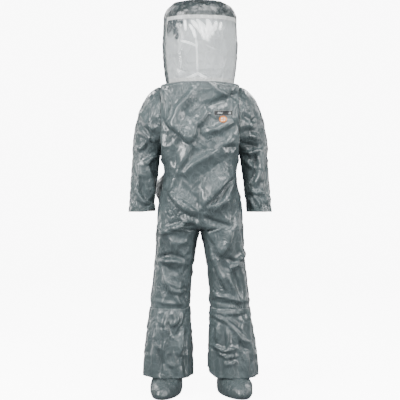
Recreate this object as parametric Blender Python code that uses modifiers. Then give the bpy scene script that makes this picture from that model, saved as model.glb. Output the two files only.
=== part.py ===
"""A hooded one-piece chemical protective suit, as worn. Every panel, fitting and fastener is its own solid.

Heights are metres above the soles. The wearer faces -Y, and the wearer's left is +X. The empty "suit" carries
everything down by HANG_HEIGHT, so that the world's origin is the bearing point of the hang loop on the crown.
"""

import math

import bmesh
import bpy
from mathutils import Matrix, Vector

# ---------------------------------------------------------------- driving sizes

FABRIC = 0.002  # wall of a fabric panel
SEAM = 0.001  # gap between two panels that are joined by a seam
CLEAR = 0.0004  # gap under a piece that lies on another
INNER_TAPE_CLEAR = 0.0035  # gap between the flat-sided inside of the hood and a tape there
PATCH_CLEAR = 0.0006  # gap under a patch on the curve of the chest
PATCH_WALL = 0.0010
LABEL_HALF = (0.043, 0.0115)  # half its width and half its height
LABEL_MIDDLE = (0.110, 1.349)  # across and up
TAG_HALF = (0.0205, 0.0170)
TAG_MIDDLE = (0.109, 1.3195)
RUNNING = 0.0015  # gap between a moving sleeve and the body

CROWN_TOP = 1.910
BROW = 1.811  # lower edge of the crown panel, upper edge of the visor
HOOD_BASE = 1.500  # seam between the hood and the body
LOOP_RISE = 0.030
HANG_HEIGHT = CROWN_TOP + LOOP_RISE

SHOULDER_PLANE = 0.187  # the armholes are flat, on this X
ARMHOLE_RADIUS = 0.150
ARMHOLE_HEIGHT = 1.340
SLEEVE_TURN = 1.146  # below this height the sleeve hangs straight
SLEEVE_REACH = 0.144  # how far the shoulder curve comes out from the armhole
ELBOW = 1.090
ELBOW_HALF = 0.070
CUFF_TOP = 0.906
CUFF_BOTTOM = 0.880
HEM_CHANNEL = 0.0050  # from the hem's outside to its inside
HEM_WALL = 0.0012
ELASTIC_WALL = 0.0010

WAIST_END = 0.860  # the body panels end here and the seat begins
HIP = 0.760
THIGH_TOP = 0.660
CROTCH = 0.790
KNEE = 0.530
KNEE_HALF = 0.080
FLAP_TOP = 0.415
FLAP_HEM = 0.085
ANKLE = 0.118
SOLE = 0.005
TOE_OUT = {"left": 17.0, "right": 9.0}  # degrees
FOOT_INWARD = {"left": 0.014, "right": 0.006}  # of the sole, from the line of the leg

VISOR_SPREAD = math.radians(64)  # half the angle that the visor takes of the hood
VISOR_WALL = 0.0015
TAPE_WIDTH = 0.020
TAPE_WALL = 0.0008

BACK_TOP = 0.235  # distance of the flat back plane from the middle, at the armholes' top
BACK_LOW = 0.290  # and at the lower end of the zip
ZIP_TOP = 1.462
ZIP_LOW = 0.900
ZIP_GAP = 0.006  # half the slit between the back panels
SLIT_PAST_ZIP = 0.008
CHAIN_HALF = 0.0030
CHAIN_WALL = 0.0024
TOOTH_PITCH = 0.012
ZIP_TAPE_WIDTH = 0.018
ZIP_TAPE_WALL = 0.0010
SLIDER_LENGTH = 0.024
SLIDER_HALF = 0.0070
PULL_LENGTH = 0.030
STORM_HALF = 0.048
STORM_RISE = 0.020
STORM_WALL = 0.0015
STRIP_WIDTH = 0.018
STRIP_WALL = 0.0010

VALVE_X = 0.096
VALVE_HEIGHT = 1.375
VALVE_RADIUS = 0.022
VALVE_BORE = 0.014
VALVE_SEAT_RISE = 0.0030
VALVE_DEPTH = 0.0050  # of the seat's tube inside the suit
DISC_WALL = 0.0012
DISC_LAP = 0.0040  # of the disc over the seat's bore
VALVE_LIFT = 0.0015
COVER_ROOM = 0.0046  # between the lifted disc and the top of the cover
COVER_WALL = 0.0013
COVER_LAP = 0.0045  # of the cover past the seat

ROUND = 20  # sides of a sleeve, leg or cuff

# height, half width, front, back, squareness of the hood
HOOD = (
    (HOOD_BASE, 0.165, 0.176, 0.192, 2.6),
    (1.560, 0.174, 0.183, 0.196, 2.6),
    (1.630, 0.182, 0.188, 0.199, 2.6),
    (1.700, 0.184, 0.189, 0.200, 2.6),
    (BROW, 0.178, 0.182, 0.194, 2.6),
)
# height, half width, front, back, squareness of the body; the back is flattened by back_plane
BODY = (
    (WAIST_END, 0.208, 0.160, 0.262, 3.0),
    (0.900, 0.205, 0.164, 0.296, 3.0),
    (0.950, 0.198, 0.167, 0.291, 3.0),
    (1.000, 0.184, 0.167, 0.286, 3.1),
    (1.050, 0.173, 0.167, 0.281, 3.2),
    (1.110, 0.176, 0.170, 0.275, 3.6),
    (1.190, 0.225, 0.177, 0.267, 4.0),
    (1.270, 0.225, 0.181, 0.260, 4.0),
    (1.340, 0.225, 0.182, 0.253, 4.0),
    (1.420, 0.225, 0.180, 0.246, 4.0),
    (1.490, 0.225, 0.177, 0.240, 4.0),
    (HOOD_BASE - SEAM, 0.165, 0.176, 0.192, 2.6),
)
# height, distance of the leg's middle from the suit's middle, half width, front, back, squareness
LEG = (
    (WAIST_END - SEAM, 0.000, 0.208, 0.160, 0.262, 3.0),
    (0.835, 0.036, 0.173, 0.154, 0.232, 2.9),
    (0.812, 0.072, 0.139, 0.146, 0.200, 2.8),
    (CROTCH, 0.106, 0.106, 0.137, 0.172, 2.6),
    (0.740, 0.114, 0.101, 0.124, 0.142, 2.4),
    (THIGH_TOP, 0.122, 0.096, 0.112, 0.116, 2.3),
    (KNEE + KNEE_HALF, 0.130, 0.095, 0.104, 0.104, 2.2),
    (KNEE, 0.138, 0.096, 0.098, 0.098, 2.2),
    (KNEE - KNEE_HALF, 0.145, 0.097, 0.096, 0.096, 2.2),
    (FLAP_TOP, 0.146, 0.096, 0.094, 0.094, 2.2),
    (0.300, 0.150, 0.084, 0.083, 0.083, 2.1),
    (ANKLE + SEAM, 0.155, 0.068, 0.070, 0.074, 2.0),
)
# height, middle, half width, front, back, squareness of the outer flap that falls over the boot
BOOT_FLAP = (
    (FLAP_TOP, 0.146, 0.100, 0.098, 0.098, 2.2),
    (0.300, 0.152, 0.110, 0.108, 0.110, 2.2),
    (0.190, 0.160, 0.116, 0.117, 0.118, 2.2),
    (FLAP_HEM, 0.165, 0.117, 0.122, 0.122, 2.2),
)
# height, middle along the foot, half length, half width of the bootie
FOOT = (
    (ANKLE, -0.002, 0.072, 0.068),
    (0.086, 0.010, 0.090, 0.070),
    (0.072, 0.042, 0.134, 0.072),
    (0.050, 0.064, 0.163, 0.074),
    (0.024, 0.070, 0.169, 0.073),
    (SOLE + SEAM, 0.070, 0.162, 0.067),
)

FABRIC_GREY = (0.155, 0.185, 0.185)


# ---------------------------------------------------------------- scene and materials


def clear_scene():
    for obj in list(bpy.data.objects):
        bpy.data.objects.remove(obj)


def new_collection(name, hidden=False):
    made = bpy.data.collections.new(name)
    bpy.context.scene.collection.children.link(made)
    made.hide_render = hidden
    return made


def material(name, colour, roughness, metallic=0.0, alpha=1.0):
    made = bpy.data.materials.new(name)
    made.use_nodes = True
    shader = made.node_tree.nodes["Principled BSDF"]
    shader.inputs["Base Color"].default_value = (*colour, 1.0)
    shader.inputs["Roughness"].default_value = roughness
    shader.inputs["Metallic"].default_value = metallic
    shader.inputs["Alpha"].default_value = alpha
    made.diffuse_color = (*colour, alpha)
    return made


clear_scene()
PARTS = new_collection("chemical_protective_suit")
CUTTERS = new_collection("cutters", hidden=True)
COATED = material("coated_fabric", FABRIC_GREY, 0.35)
CLEAR_PVC = material("clear_visor_film", (0.85, 0.88, 0.88), 0.08, alpha=0.3)
TAPE = material("seam_tape", (0.62, 0.64, 0.63), 0.4)
ZIP_FABRIC = material("zip_tape_fabric", (0.03, 0.03, 0.035), 0.8)
MOULDED = material("moulded_plastic", (0.04, 0.04, 0.045), 0.45)
ELASTIC = material("knitted_elastic", (0.75, 0.75, 0.73), 0.9)
SILICONE = material("valve_rubber", (0.55, 0.16, 0.05), 0.6)
LABEL = material("label_print", (0.02, 0.02, 0.02), 0.5)
BADGE = material("badge_print", (0.80, 0.35, 0.10), 0.5)
HOOK = material("hook_and_loop", (0.05, 0.055, 0.06), 0.95)
WEBBING = material("loop_webbing", (0.30, 0.31, 0.30), 0.8)


# ---------------------------------------------------------------- bodies, each an empty on its joint's axis


def empty_at(name, place, parent=None):
    """An empty at a place given in heights above the soles."""
    made = bpy.data.objects.new(name, None)
    PARTS.objects.link(made)
    made.parent = parent
    made["place"] = list(place)
    made.location = Vector(place) - (Vector(parent["place"]) if parent else Vector())
    return made


SUIT = empty_at("suit", (0.0, 0.0, 0.0))
SUIT.location.z = -HANG_HEIGHT


def add(obj, body, surface):
    """Puts a finished object in the suit: its origin goes to its body's joint, and it follows that body."""
    place = Vector(body["place"])
    obj.data.transform(Matrix.Translation(-place))
    obj.parent = body
    obj.data.materials.clear()
    obj.data.materials.append(surface)
    return obj


def mesh_object(name, bm, collection=None):
    mesh = bpy.data.meshes.new(name)
    bm.to_mesh(mesh)
    bm.free()
    made = bpy.data.objects.new(name, mesh)
    (collection or PARTS).objects.link(made)
    return made


# ---------------------------------------------------------------- sections


def between(table, height):
    """A table's row at a height, read straight between its own rows."""
    rows = sorted(table)
    height = min(max(height, rows[0][0]), rows[-1][0])
    for low, high in zip(rows, rows[1:]):
        if height <= high[0]:
            t = (height - low[0]) / (high[0] - low[0])
            return tuple(a + (b - a) * t for a, b in zip(low, high))
    return rows[-1]


def oval(angle, half_width, front, back, squareness):
    """A point of a rounded-square outline. Angle 0 is +X, and 90 degrees is the back."""
    power = 2.0 / squareness
    c, s = math.cos(angle), math.sin(angle)
    x = half_width * math.copysign(abs(c) ** power, c)
    y = (back if s > 0 else front) * math.copysign(abs(s) ** power, s)
    return x, y


def back_plane(height):
    """The flat back's distance from the middle at a height."""
    t = (1.490 - height) / (1.490 - ZIP_LOW)
    return BACK_TOP + (BACK_LOW - BACK_TOP) * t


def body_point(angle, height):
    _, half_width, front, back, squareness = between(BODY, height)
    x, y = oval(angle, half_width, front, back, squareness)
    x = min(max(x, -SHOULDER_PLANE), SHOULDER_PLANE) if height > 1.12 else x
    return Vector((x, min(y, back_plane(height)), height))


def hood_point(angle, height, out=0.0):
    _, half_width, front, back, squareness = between(HOOD, height)
    x, y = oval(angle, half_width + out, front + out, back + out, squareness)
    return Vector((x, y, height))


def turns(start, end, count):
    return [start + (end - start) * i / count for i in range(count + 1)]


def levels(table, low, high):
    """The heights of a table's rows from low to high, with both ends."""
    inner = [row[0] for row in table if low + 1e-6 < row[0] < high - 1e-6]
    return sorted([low, *inner, high])


# ---------------------------------------------------------------- shells


def sheet(name, rows, wall, closed=False, inside=None, cap_last=False):
    """A lofted open surface with its wall built inwards. inside is a point on the hollow side."""
    bm = bmesh.new()
    made = [[bm.verts.new(p) for p in row] for row in rows]
    columns = len(rows[0])
    last = columns if closed else columns - 1
    for low, high in zip(made, made[1:]):
        for i in range(last):
            j = (i + 1) % columns
            bm.faces.new((low[i], low[j], high[j], high[i]))
    if cap_last:
        bm.faces.new(made[-1])
    bm.normal_update()
    centre = inside or sum((v.co for v in bm.verts), Vector()) / len(bm.verts)
    outward = sum(f.normal.dot(f.calc_center_median() - centre) * f.calc_area() for f in bm.faces)
    if outward < 0:
        bmesh.ops.reverse_faces(bm, faces=bm.faces)
    obj = mesh_object(name, bm)
    solidify = obj.modifiers.new("wall", "SOLIDIFY")
    solidify.thickness = wall
    solidify.offset = -1.0
    solidify.use_even_offset = True
    return obj


def smooth(obj, degrees=35):
    obj.data.shade_smooth()
    obj.data.set_sharp_from_angle(angle=math.radians(degrees))
    return obj


def cylinder(name, radius, depth, matrix, sides=32, collection=None):
    bm = bmesh.new()
    bmesh.ops.create_cone(
        bm, cap_ends=True, segments=sides, radius1=radius, radius2=radius, depth=depth, matrix=matrix
    )
    return mesh_object(name, bm, collection)


def box(name, size, centre, matrix=None, bevel=0.0, collection=None):
    bm = bmesh.new()
    bmesh.ops.create_cube(bm, size=1.0, matrix=Matrix.Diagonal((*size, 1.0)))
    bmesh.ops.translate(bm, verts=bm.verts, vec=Vector(centre))
    if matrix:
        bmesh.ops.transform(bm, matrix=matrix, verts=bm.verts)
    obj = mesh_object(name, bm, collection)
    if bevel:
        edge = obj.modifiers.new("rounded", "BEVEL")
        edge.width = bevel
        edge.segments = 2
    return obj


def cut(obj, cutter, operation="DIFFERENCE"):
    cutter.hide_render = True
    cutter.display_type = "WIRE"
    boolean = obj.modifiers.new(cutter.name, "BOOLEAN")
    boolean.operation = operation
    boolean.object = cutter
    boolean.solver = "EXACT"


def cutter_in_suit(cutter):
    """A cutter is modelled in heights above the soles, as the pieces are."""
    cutter.parent = SUIT
    return cutter


# ---------------------------------------------------------------- hood

MIDDLE = Vector((0.0, 0.03, 1.2))


def hood_panels():
    visor_left = -math.pi / 2 + VISOR_SPREAD
    turn_gap = SEAM / 0.18
    heights = levels(HOOD, HOOD_BASE + SEAM, BROW - SEAM)
    inside = Vector((0.0, 0.0, 1.65))
    for side, sign in (("left", 1), ("right", -1)):
        angles = turns(visor_left + turn_gap, math.pi / 2 - turn_gap / 2, 14)
        rows = [[hood_point(a, z) for a in angles] for z in heights]
        rows = [[Vector((sign * p.x, p.y, p.z)) for p in row] for row in rows]
        smooth(add(sheet(f"hood_{side}_panel", rows, FABRIC, inside=inside), SUIT, COATED))
    angles = turns(-math.pi / 2 - VISOR_SPREAD, visor_left, 12)
    rows = [[hood_point(a, z, -0.0002) for a in angles] for z in heights]
    smooth(add(sheet("visor", rows, VISOR_WALL, inside=inside), SUIT, CLEAR_PVC))


def crown():
    _, half_width, front, back, squareness = between(HOOD, BROW)
    rise = CROWN_TOP - BROW
    rows = []
    for step in range(6):
        turn = math.radians(82) * step / 5
        shrink = math.cos(turn) ** 0.8
        height = BROW + rise * math.sin(turn) ** 0.8 / math.sin(math.radians(82)) ** 0.8
        row = []
        for a in turns(0, 2 * math.pi, 24)[:-1]:
            x, y = oval(a, half_width * shrink, front * shrink, back * shrink, squareness)
            row.append(Vector((x, y, height)))
        rows.append(row)
    inside = Vector((0.0, 0.0, BROW))
    smooth(add(sheet("hood_crown", rows, FABRIC, closed=True, inside=inside, cap_last=True), SUIT, COATED))


def visor_tape():
    """The welded tape that frames the visor: a strip over the edges of the visor and the hood."""
    out = CLEAR + TAPE_WALL
    turn = TAPE_WIDTH / 0.19
    edge = turn * 0.35
    angles_out = (-math.pi / 2 - VISOR_SPREAD - edge, -math.pi / 2 + VISOR_SPREAD + edge)
    angles = [angles_out[0], *turns(angles_out[0] + turn, angles_out[1] - turn, 12), angles_out[1]]
    low, high = HOOD_BASE + SEAM, BROW - SEAM
    inner = [z for z in levels(HOOD, low, high) if low + TAPE_WIDTH < z < high - TAPE_WIDTH]
    heights = [low, low + TAPE_WIDTH, *inner, high - TAPE_WIDTH, high]
    bm = bmesh.new()
    grid = [[bm.verts.new(hood_point(a, z, out)) for a in angles] for z in heights]
    for r in range(len(heights) - 1):
        for c in range(len(angles) - 1):
            if 0 < r < len(heights) - 2 and 0 < c < len(angles) - 2:
                continue
            bm.faces.new((grid[r][c], grid[r][c + 1], grid[r + 1][c + 1], grid[r + 1][c]))
    bmesh.ops.delete(bm, geom=[v for v in bm.verts if not v.link_faces], context="VERTS")
    obj = mesh_object("visor_seal_tape", bm)
    wall = obj.modifiers.new("wall", "SOLIDIFY")
    wall.thickness = TAPE_WALL
    wall.offset = -1.0
    smooth(add(obj, SUIT, TAPE))


def inner_tapes():
    """The two welded tapes inside the back of the hood: up the back seam, and along the seam at its base."""
    inward = -(FABRIC + INNER_TAPE_CLEAR)
    half = TAPE_WIDTH / 2
    inside = Vector((0.0, 0.0, 1.65))
    heights = levels(HOOD, HOOD_BASE + 0.030, BROW - 0.012)
    half_turn = half / 0.195 * 0.9
    rows = [
        [hood_point(a, z, inward) for a in turns(math.pi / 2 - half_turn, math.pi / 2 + half_turn, 2)]
        for z in heights
    ]
    add(sheet("hood_back_seam_tape", rows, TAPE_WALL, inside=inside), SUIT, TAPE)
    rows = [
        [hood_point(a, z, inward) for a in turns(math.radians(25), math.radians(155), 14)]
        for z in (HOOD_BASE + 0.004, HOOD_BASE + 0.004 + TAPE_WIDTH)
    ]
    add(sheet("hood_base_seam_tape", rows, TAPE_WALL, inside=inside), SUIT, TAPE)


def hang_loop():
    """A webbing loop on the crown. The suit hangs from the top of its opening, which is the origin."""
    half, wall = 0.014, 0.0022
    curve = bpy.data.curves.new("hang_loop", "CURVE")
    curve.dimensions = "2D"
    curve.fill_mode = "BOTH"
    curve.extrude = 0.007
    arch = [math.pi * i / 10 for i in range(11)]
    foot = CROWN_TOP + CLEAR
    top = HANG_HEIGHT - half
    outer = [(math.cos(a) * (half + wall), top + math.sin(a) * (half + wall)) for a in arch]
    inner = [(math.cos(a) * half, top + math.sin(a) * half) for a in reversed(arch)]
    outline = [(half + wall, foot), *outer, (-half - wall, foot), (-half, foot), *inner, (half, foot)]
    spline = curve.splines.new("POLY")
    spline.points.add(len(outline) - 1)
    for point, (x, z) in zip(spline.points, outline):
        point.co = (x, z, 0.0, 1.0)
    spline.use_cyclic_u = True
    guide = bpy.data.objects.new("hang_loop_outline", curve)
    PARTS.objects.link(guide)
    guide.rotation_euler.x = math.pi / 2
    bpy.context.view_layer.update()
    mesh = bpy.data.meshes.new_from_object(guide.evaluated_get(bpy.context.evaluated_depsgraph_get()))
    mesh.transform(guide.matrix_world)
    bpy.data.objects.remove(guide)
    bm = bmesh.new()
    bm.from_mesh(mesh)
    bmesh.ops.remove_doubles(bm, verts=bm.verts, dist=0.00005)
    add(mesh_object("hang_loop", bm), SUIT, WEBBING)


# ---------------------------------------------------------------- body panels


def armhole_cutters():
    made = []
    for sign in (1, -1):
        across = Matrix.Rotation(math.pi / 2, 4, "Y")
        matrix = Matrix.Translation((sign * SHOULDER_PLANE, 0.0, ARMHOLE_HEIGHT)) @ across
        cutter = cylinder(f"armhole_cutter_{sign}", ARMHOLE_RADIUS, 0.03, matrix, 40, CUTTERS)
        made.append(cutter_in_suit(cutter))
    return made


def body_front():
    angles = turns(-math.pi, 0.0, 16)
    heights = [row[0] for row in BODY]
    rows = [[body_point(a, z) for a in angles] for z in heights]
    for row in rows:
        row[0].y = row[-1].y = -SEAM / 2
    front = sheet("torso_front_panel", rows, FABRIC, inside=MIDDLE)
    return smooth(add(front, SUIT, COATED))


def body_back(side, sign):
    """Half of the expanded back. Its middle edge stops at the slit for the zip."""
    slit_low, slit_top = ZIP_LOW - SLIT_PAST_ZIP, ZIP_TOP + SLIT_PAST_ZIP
    ends = {slit_low - SEAM, slit_low, slit_top, slit_top + SEAM}
    heights = sorted({*(row[0] for row in BODY), *ends})
    rows = []
    for z in heights:
        slit = ZIP_GAP if slit_low <= z <= slit_top else SEAM / 2
        row = [body_point(a, z) for a in turns(0.0, math.pi / 2, 10)]
        row[0].y = SEAM / 2
        row[-1].x = slit
        rows.append([Vector((sign * p.x, p.y, p.z)) for p in row])
    panel = sheet(f"torso_back_{side}_panel", rows, FABRIC, inside=MIDDLE)
    return smooth(add(panel, SUIT, COATED))


def front_patch(name, x_middle, z_middle, outline, wall, surface):
    """A printed patch that lies round the chest's curve. outline is a list of (x, z) from its middle."""
    bm = bmesh.new()
    bm.faces.new([bm.verts.new((dx, 0.0, dz)) for dx, dz in outline])
    width = max(dx for dx, _ in outline)
    for x in turns(-width, width, 10)[1:-1]:
        geom = [*bm.verts, *bm.edges, *bm.faces]
        bmesh.ops.bisect_plane(bm, geom=geom, plane_co=(x, 0, 0), plane_no=(1, 0, 0))
    for vert in bm.verts:
        x, z = x_middle + vert.co.x, z_middle + vert.co.z
        _, half_width, front, _, squareness = between(BODY, z)
        y = -front * (1 - abs(x / half_width) ** squareness) ** (1 / squareness)
        vert.co = (x, y - PATCH_CLEAR - wall, z)
    bm.normal_update()
    if sum(face.normal.y for face in bm.faces) > 0:
        bmesh.ops.reverse_faces(bm, faces=bm.faces)
    obj = mesh_object(name, bm)
    solidify = obj.modifiers.new("wall", "SOLIDIFY")
    solidify.thickness = wall
    solidify.offset = -1.0
    add(obj, SUIT, surface)


# ---------------------------------------------------------------- sleeves


def sleeve_ring(height_or_turn, on_shoulder, sign):
    """One ring of a sleeve: on the shoulder by a turn about the armpit, and below it by a height."""
    start = SHOULDER_PLANE + RUNNING
    armpit_top = ARMHOLE_HEIGHT - ARMHOLE_RADIUS
    if on_shoulder:
        turn = height_or_turn
        share = turn / (math.pi / 2)
        rise = ARMHOLE_HEIGHT + ARMHOLE_RADIUS - SLEEVE_TURN
        outer = Vector((start + SLEEVE_REACH * math.sin(turn), 0, SLEEVE_TURN + rise * math.cos(turn)))
        inner = Vector((start + 0.007 * share, 0, armpit_top + (SLEEVE_TURN - armpit_top) * share))
        depth = ARMHOLE_RADIUS + (0.077 - ARMHOLE_RADIUS) * math.sin(turn) ** 1.3
    else:
        t = (SLEEVE_TURN - height_or_turn) / (SLEEVE_TURN - CUFF_BOTTOM)
        outer = Vector((start + SLEEVE_REACH + 0.019 * t, 0, height_or_turn))
        inner = Vector((start + 0.007 + 0.036 * t, 0, height_or_turn))
        depth = 0.077 - 0.013 * t
    middle, half = (outer + inner) / 2, (outer - inner).length / 2
    across = (outer - inner).normalized()
    ring = []
    for a in turns(0, 2 * math.pi, ROUND)[:-1]:
        u, y = oval(a, half, depth, depth, 2.0)
        p = middle + across * u
        ring.append(Vector((sign * p.x, y, p.z)))
    return ring


def sleeve(side, sign):
    shoulder = (sign * (SHOULDER_PLANE + RUNNING), 0.0, ARMHOLE_HEIGHT)
    sleeve_middle = sign * (SHOULDER_PLANE + RUNNING + 0.080)
    upper = empty_at(f"{side}_shoulder_joint", shoulder, SUIT)
    lower = empty_at(f"{side}_elbow_joint", (sleeve_middle, 0.0, ELBOW), upper)
    rows = [sleeve_ring(t, True, sign) for t in turns(0, math.radians(84), 6)]
    top_of_elbow = sleeve_ring(ELBOW + ELBOW_HALF - 0.014, False, sign)
    smooth(add(sheet(f"{side}_sleeve_upper", rows, FABRIC, closed=True), upper, COATED))
    rows = [
        [p + (q - p).normalized() * SEAM for p, q in zip(rows[-1], top_of_elbow)],
        sleeve_ring(ELBOW + 0.02, False, sign),
        sleeve_ring(ELBOW - 0.02, False, sign),
        sleeve_ring(ELBOW - ELBOW_HALF, False, sign),
    ]
    smooth(add(sheet(f"{side}_sleeve_elbow", rows, FABRIC, closed=True), upper, COATED))
    rows = [
        sleeve_ring(ELBOW - ELBOW_HALF - SEAM, False, sign),
        sleeve_ring((ELBOW - ELBOW_HALF + CUFF_TOP) / 2, False, sign),
        sleeve_ring(CUFF_TOP + SEAM, False, sign),
    ]
    smooth(add(sheet(f"{side}_sleeve_lower", rows, FABRIC, closed=True), lower, COATED))
    cuff(side, sign, lower)


def cuff_ring(height, inset, sign):
    """The sleeve's outline at a height, drawn in towards its own middle."""
    ring = sleeve_ring(height, False, sign)
    middle = sum(ring, Vector()) / len(ring)
    return [middle + (p - middle) * (1 - inset / (p - middle).length) for p in ring]


def cuff(side, sign, body):
    """The hem of the sleeve, folded up into a channel, and the elastic that runs in it."""
    folds = ((CUFF_TOP, 0.0), (CUFF_BOTTOM, 0.0), (CUFF_BOTTOM, HEM_CHANNEL), (CUFF_TOP - 0.005, HEM_CHANNEL))
    rows = [cuff_ring(height, inset, sign) for height, inset in folds]
    smooth(add(sheet(f"{side}_cuff_hem", rows, HEM_WALL, closed=True), body, COATED))
    inset = HEM_WALL + (HEM_CHANNEL - 2 * HEM_WALL - ELASTIC_WALL) / 2
    low, high = CUFF_BOTTOM + 0.0045, CUFF_TOP - 0.0060
    rows = [cuff_ring(height, inset, sign) for height in (high, low)]
    smooth(add(sheet(f"{side}_cuff_elastic", rows, ELASTIC_WALL, closed=True), body, ELASTIC))


# ---------------------------------------------------------------- legs


def leg_row(table, height, sign, count=ROUND):
    """A leg's outline from the front's middle seam, round the outside, to the back's."""
    _, middle, half, front, back, squareness = between(table, height)
    share = min(1.0, middle / half)
    end = math.pi - math.acos(share ** (squareness / 2))
    row = []
    for a in turns(-end, end, count):
        x, y = oval(a, half, front, back, squareness)
        row.append(Vector((sign * max(middle + x, SEAM / 2), y, height)))
    return row


def leg_ring(table, height, sign):
    _, middle, half, front, back, squareness = between(table, height)
    ring = []
    for a in turns(0, 2 * math.pi, ROUND)[:-1]:
        x, y = oval(a, half, front, back, squareness)
        ring.append(Vector((sign * (middle + x), y, height)))
    return ring


def leg_tube(name, table, low, high, sign, body):
    rows = [leg_ring(table, z, sign) for z in levels(table, low, high)]
    smooth(add(sheet(name, rows, FABRIC, closed=True), body, COATED))


def seat(side, sign, body):
    """Half of the seat, from the waist to the thigh, with its edges on the middle seam and the inseam."""
    rows = []
    for z in levels(LEG, THIGH_TOP + SEAM, WAIST_END - SEAM):
        row = leg_row(LEG, z, sign)
        if z <= CROTCH:
            row[0].y, row[-1].y = -SEAM, SEAM
        rows.append(row)
    inside = Vector((sign * 0.10, 0.02, 0.76))
    smooth(add(sheet(f"{side}_seat_panel", rows, FABRIC, inside=inside), body, COATED))


def foot_ring(row, sign, turn, inward, shrink=0.0, sides=24):
    """A level outline of the bootie, its toe turned out and its sole set inward."""
    height, along, half_length, half_width = row
    middle = sign * (LEG[-1][1] - inward * (1 - height / ANKLE))
    ring = []
    for a in turns(0, 2 * math.pi, sides)[:-1]:
        x = (half_width - shrink) * math.cos(a)
        y = -along + (half_length - shrink) * math.sin(a)
        x *= 1.0 - 0.12 * max(0.0, (y + 0.02) / 0.1)  # the heel is narrower than the ball of the foot
        ring.append(Vector((middle, 0, 0)) + Matrix.Rotation(turn, 3, "Z") @ Vector((x, y, height)))
    return ring


def bootie(side, sign, body):
    turn = math.radians(TOE_OUT[side]) * sign
    inward = FOOT_INWARD[side]
    rows = [foot_ring(row, sign, turn, inward) for row in FOOT]
    upper = sheet(f"{side}_bootie_upper", rows, FABRIC, closed=True)
    smooth(add(upper, body, COATED))
    bm = bmesh.new()
    low = [bm.verts.new((p.x, p.y, 0.0)) for p in foot_ring(FOOT[-1], sign, turn, inward, 0.004)]
    face = bm.faces.new(low)
    lifted = bmesh.ops.extrude_face_region(bm, geom=[face])
    verts = [v for v in lifted["geom"] if isinstance(v, bmesh.types.BMVert)]
    bmesh.ops.translate(bm, verts=verts, vec=(0, 0, SOLE))
    bmesh.ops.recalc_face_normals(bm, faces=bm.faces)
    add(mesh_object(f"{side}_bootie_sole", bm), body, COATED)


def leg(side, sign):
    hip = empty_at(f"{side}_hip_joint", (sign * LEG[4][1], 0.0, HIP), SUIT)
    knee = empty_at(f"{side}_knee_joint", (sign * between(LEG, KNEE)[1], 0.0, KNEE), hip)
    seat(side, sign, SUIT)
    leg_tube(f"{side}_leg_thigh", LEG, KNEE + KNEE_HALF, THIGH_TOP, sign, hip)
    leg_tube(f"{side}_leg_knee", LEG, KNEE - KNEE_HALF + SEAM, KNEE + KNEE_HALF - SEAM, sign, hip)
    leg_tube(f"{side}_leg_shin", LEG, ANKLE + SEAM, KNEE - KNEE_HALF, sign, knee)
    leg_tube(f"{side}_boot_flap", BOOT_FLAP, FLAP_HEM, FLAP_TOP, sign, knee)
    bootie(side, sign, knee)


# ---------------------------------------------------------------- zip, on the slanting flat of the back

ZIP_LEAN = math.atan2(BACK_LOW - BACK_TOP, 1.490 - ZIP_LOW)
# On the back: X across, Y out of the back, Z up along the zip, from the zip's top on the flat plane.
ON_BACK = (
    Matrix.Translation((0.0, back_plane(ZIP_TOP), ZIP_TOP))
    @ Matrix.Rotation(ZIP_LEAN, 4, "X")
)
ZIP_LENGTH = (ZIP_TOP - ZIP_LOW) / math.cos(ZIP_LEAN)


def along_back(x, out, down):
    """A place on the back: across, out from its flat plane, and down the zip from its top."""
    return ON_BACK @ Vector((x, out, -down))


def zip_chain():
    """The closed coil: a strip with a tooth on each side in turn."""
    bm = bmesh.new()
    count = int(ZIP_LENGTH / TOOTH_PITCH)
    outline = []
    for i in range(count):
        top = i * TOOTH_PITCH
        outline += [(CHAIN_HALF, top), (CHAIN_HALF, top + TOOTH_PITCH * 0.6)]
        outline += [(CHAIN_HALF * 0.7, top + TOOTH_PITCH * 0.6), (CHAIN_HALF * 0.7, top + TOOTH_PITCH)]
    left = [(x, d) for x, d in outline]
    right = [(-x, d) for x, d in reversed(outline)]
    face = bm.faces.new([bm.verts.new((x, CLEAR, -d)) for x, d in left + right])
    lifted = bmesh.ops.extrude_face_region(bm, geom=[face])
    verts = [v for v in lifted["geom"] if isinstance(v, bmesh.types.BMVert)]
    bmesh.ops.translate(bm, verts=verts, vec=(0, CHAIN_WALL, 0))
    bmesh.ops.recalc_face_normals(bm, faces=bm.faces)
    bmesh.ops.transform(bm, matrix=ON_BACK, verts=bm.verts)
    add(mesh_object("zip_chain", bm), SUIT, MOULDED)


def zip_tapes():
    for side, sign in (("left", 1), ("right", -1)):
        inner = CHAIN_HALF + CLEAR
        centre = (sign * (inner + ZIP_TAPE_WIDTH / 2), CLEAR + ZIP_TAPE_WALL / 2, -ZIP_LENGTH / 2)
        size = (ZIP_TAPE_WIDTH, ZIP_TAPE_WALL, ZIP_LENGTH)
        add(box(f"zip_{side}_tape", size, centre, ON_BACK), SUIT, ZIP_FABRIC)
    for name, down in (("zip_top_stop", -0.0045), ("zip_bottom_stop", ZIP_LENGTH + 0.0035)):
        size = (2 * CHAIN_HALF + 0.003, CHAIN_WALL, 0.006)
        stop = box(name, size, (0, CLEAR + CHAIN_WALL / 2, -down), ON_BACK, bevel=0.0006)
        add(stop, SUIT, MOULDED)


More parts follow.
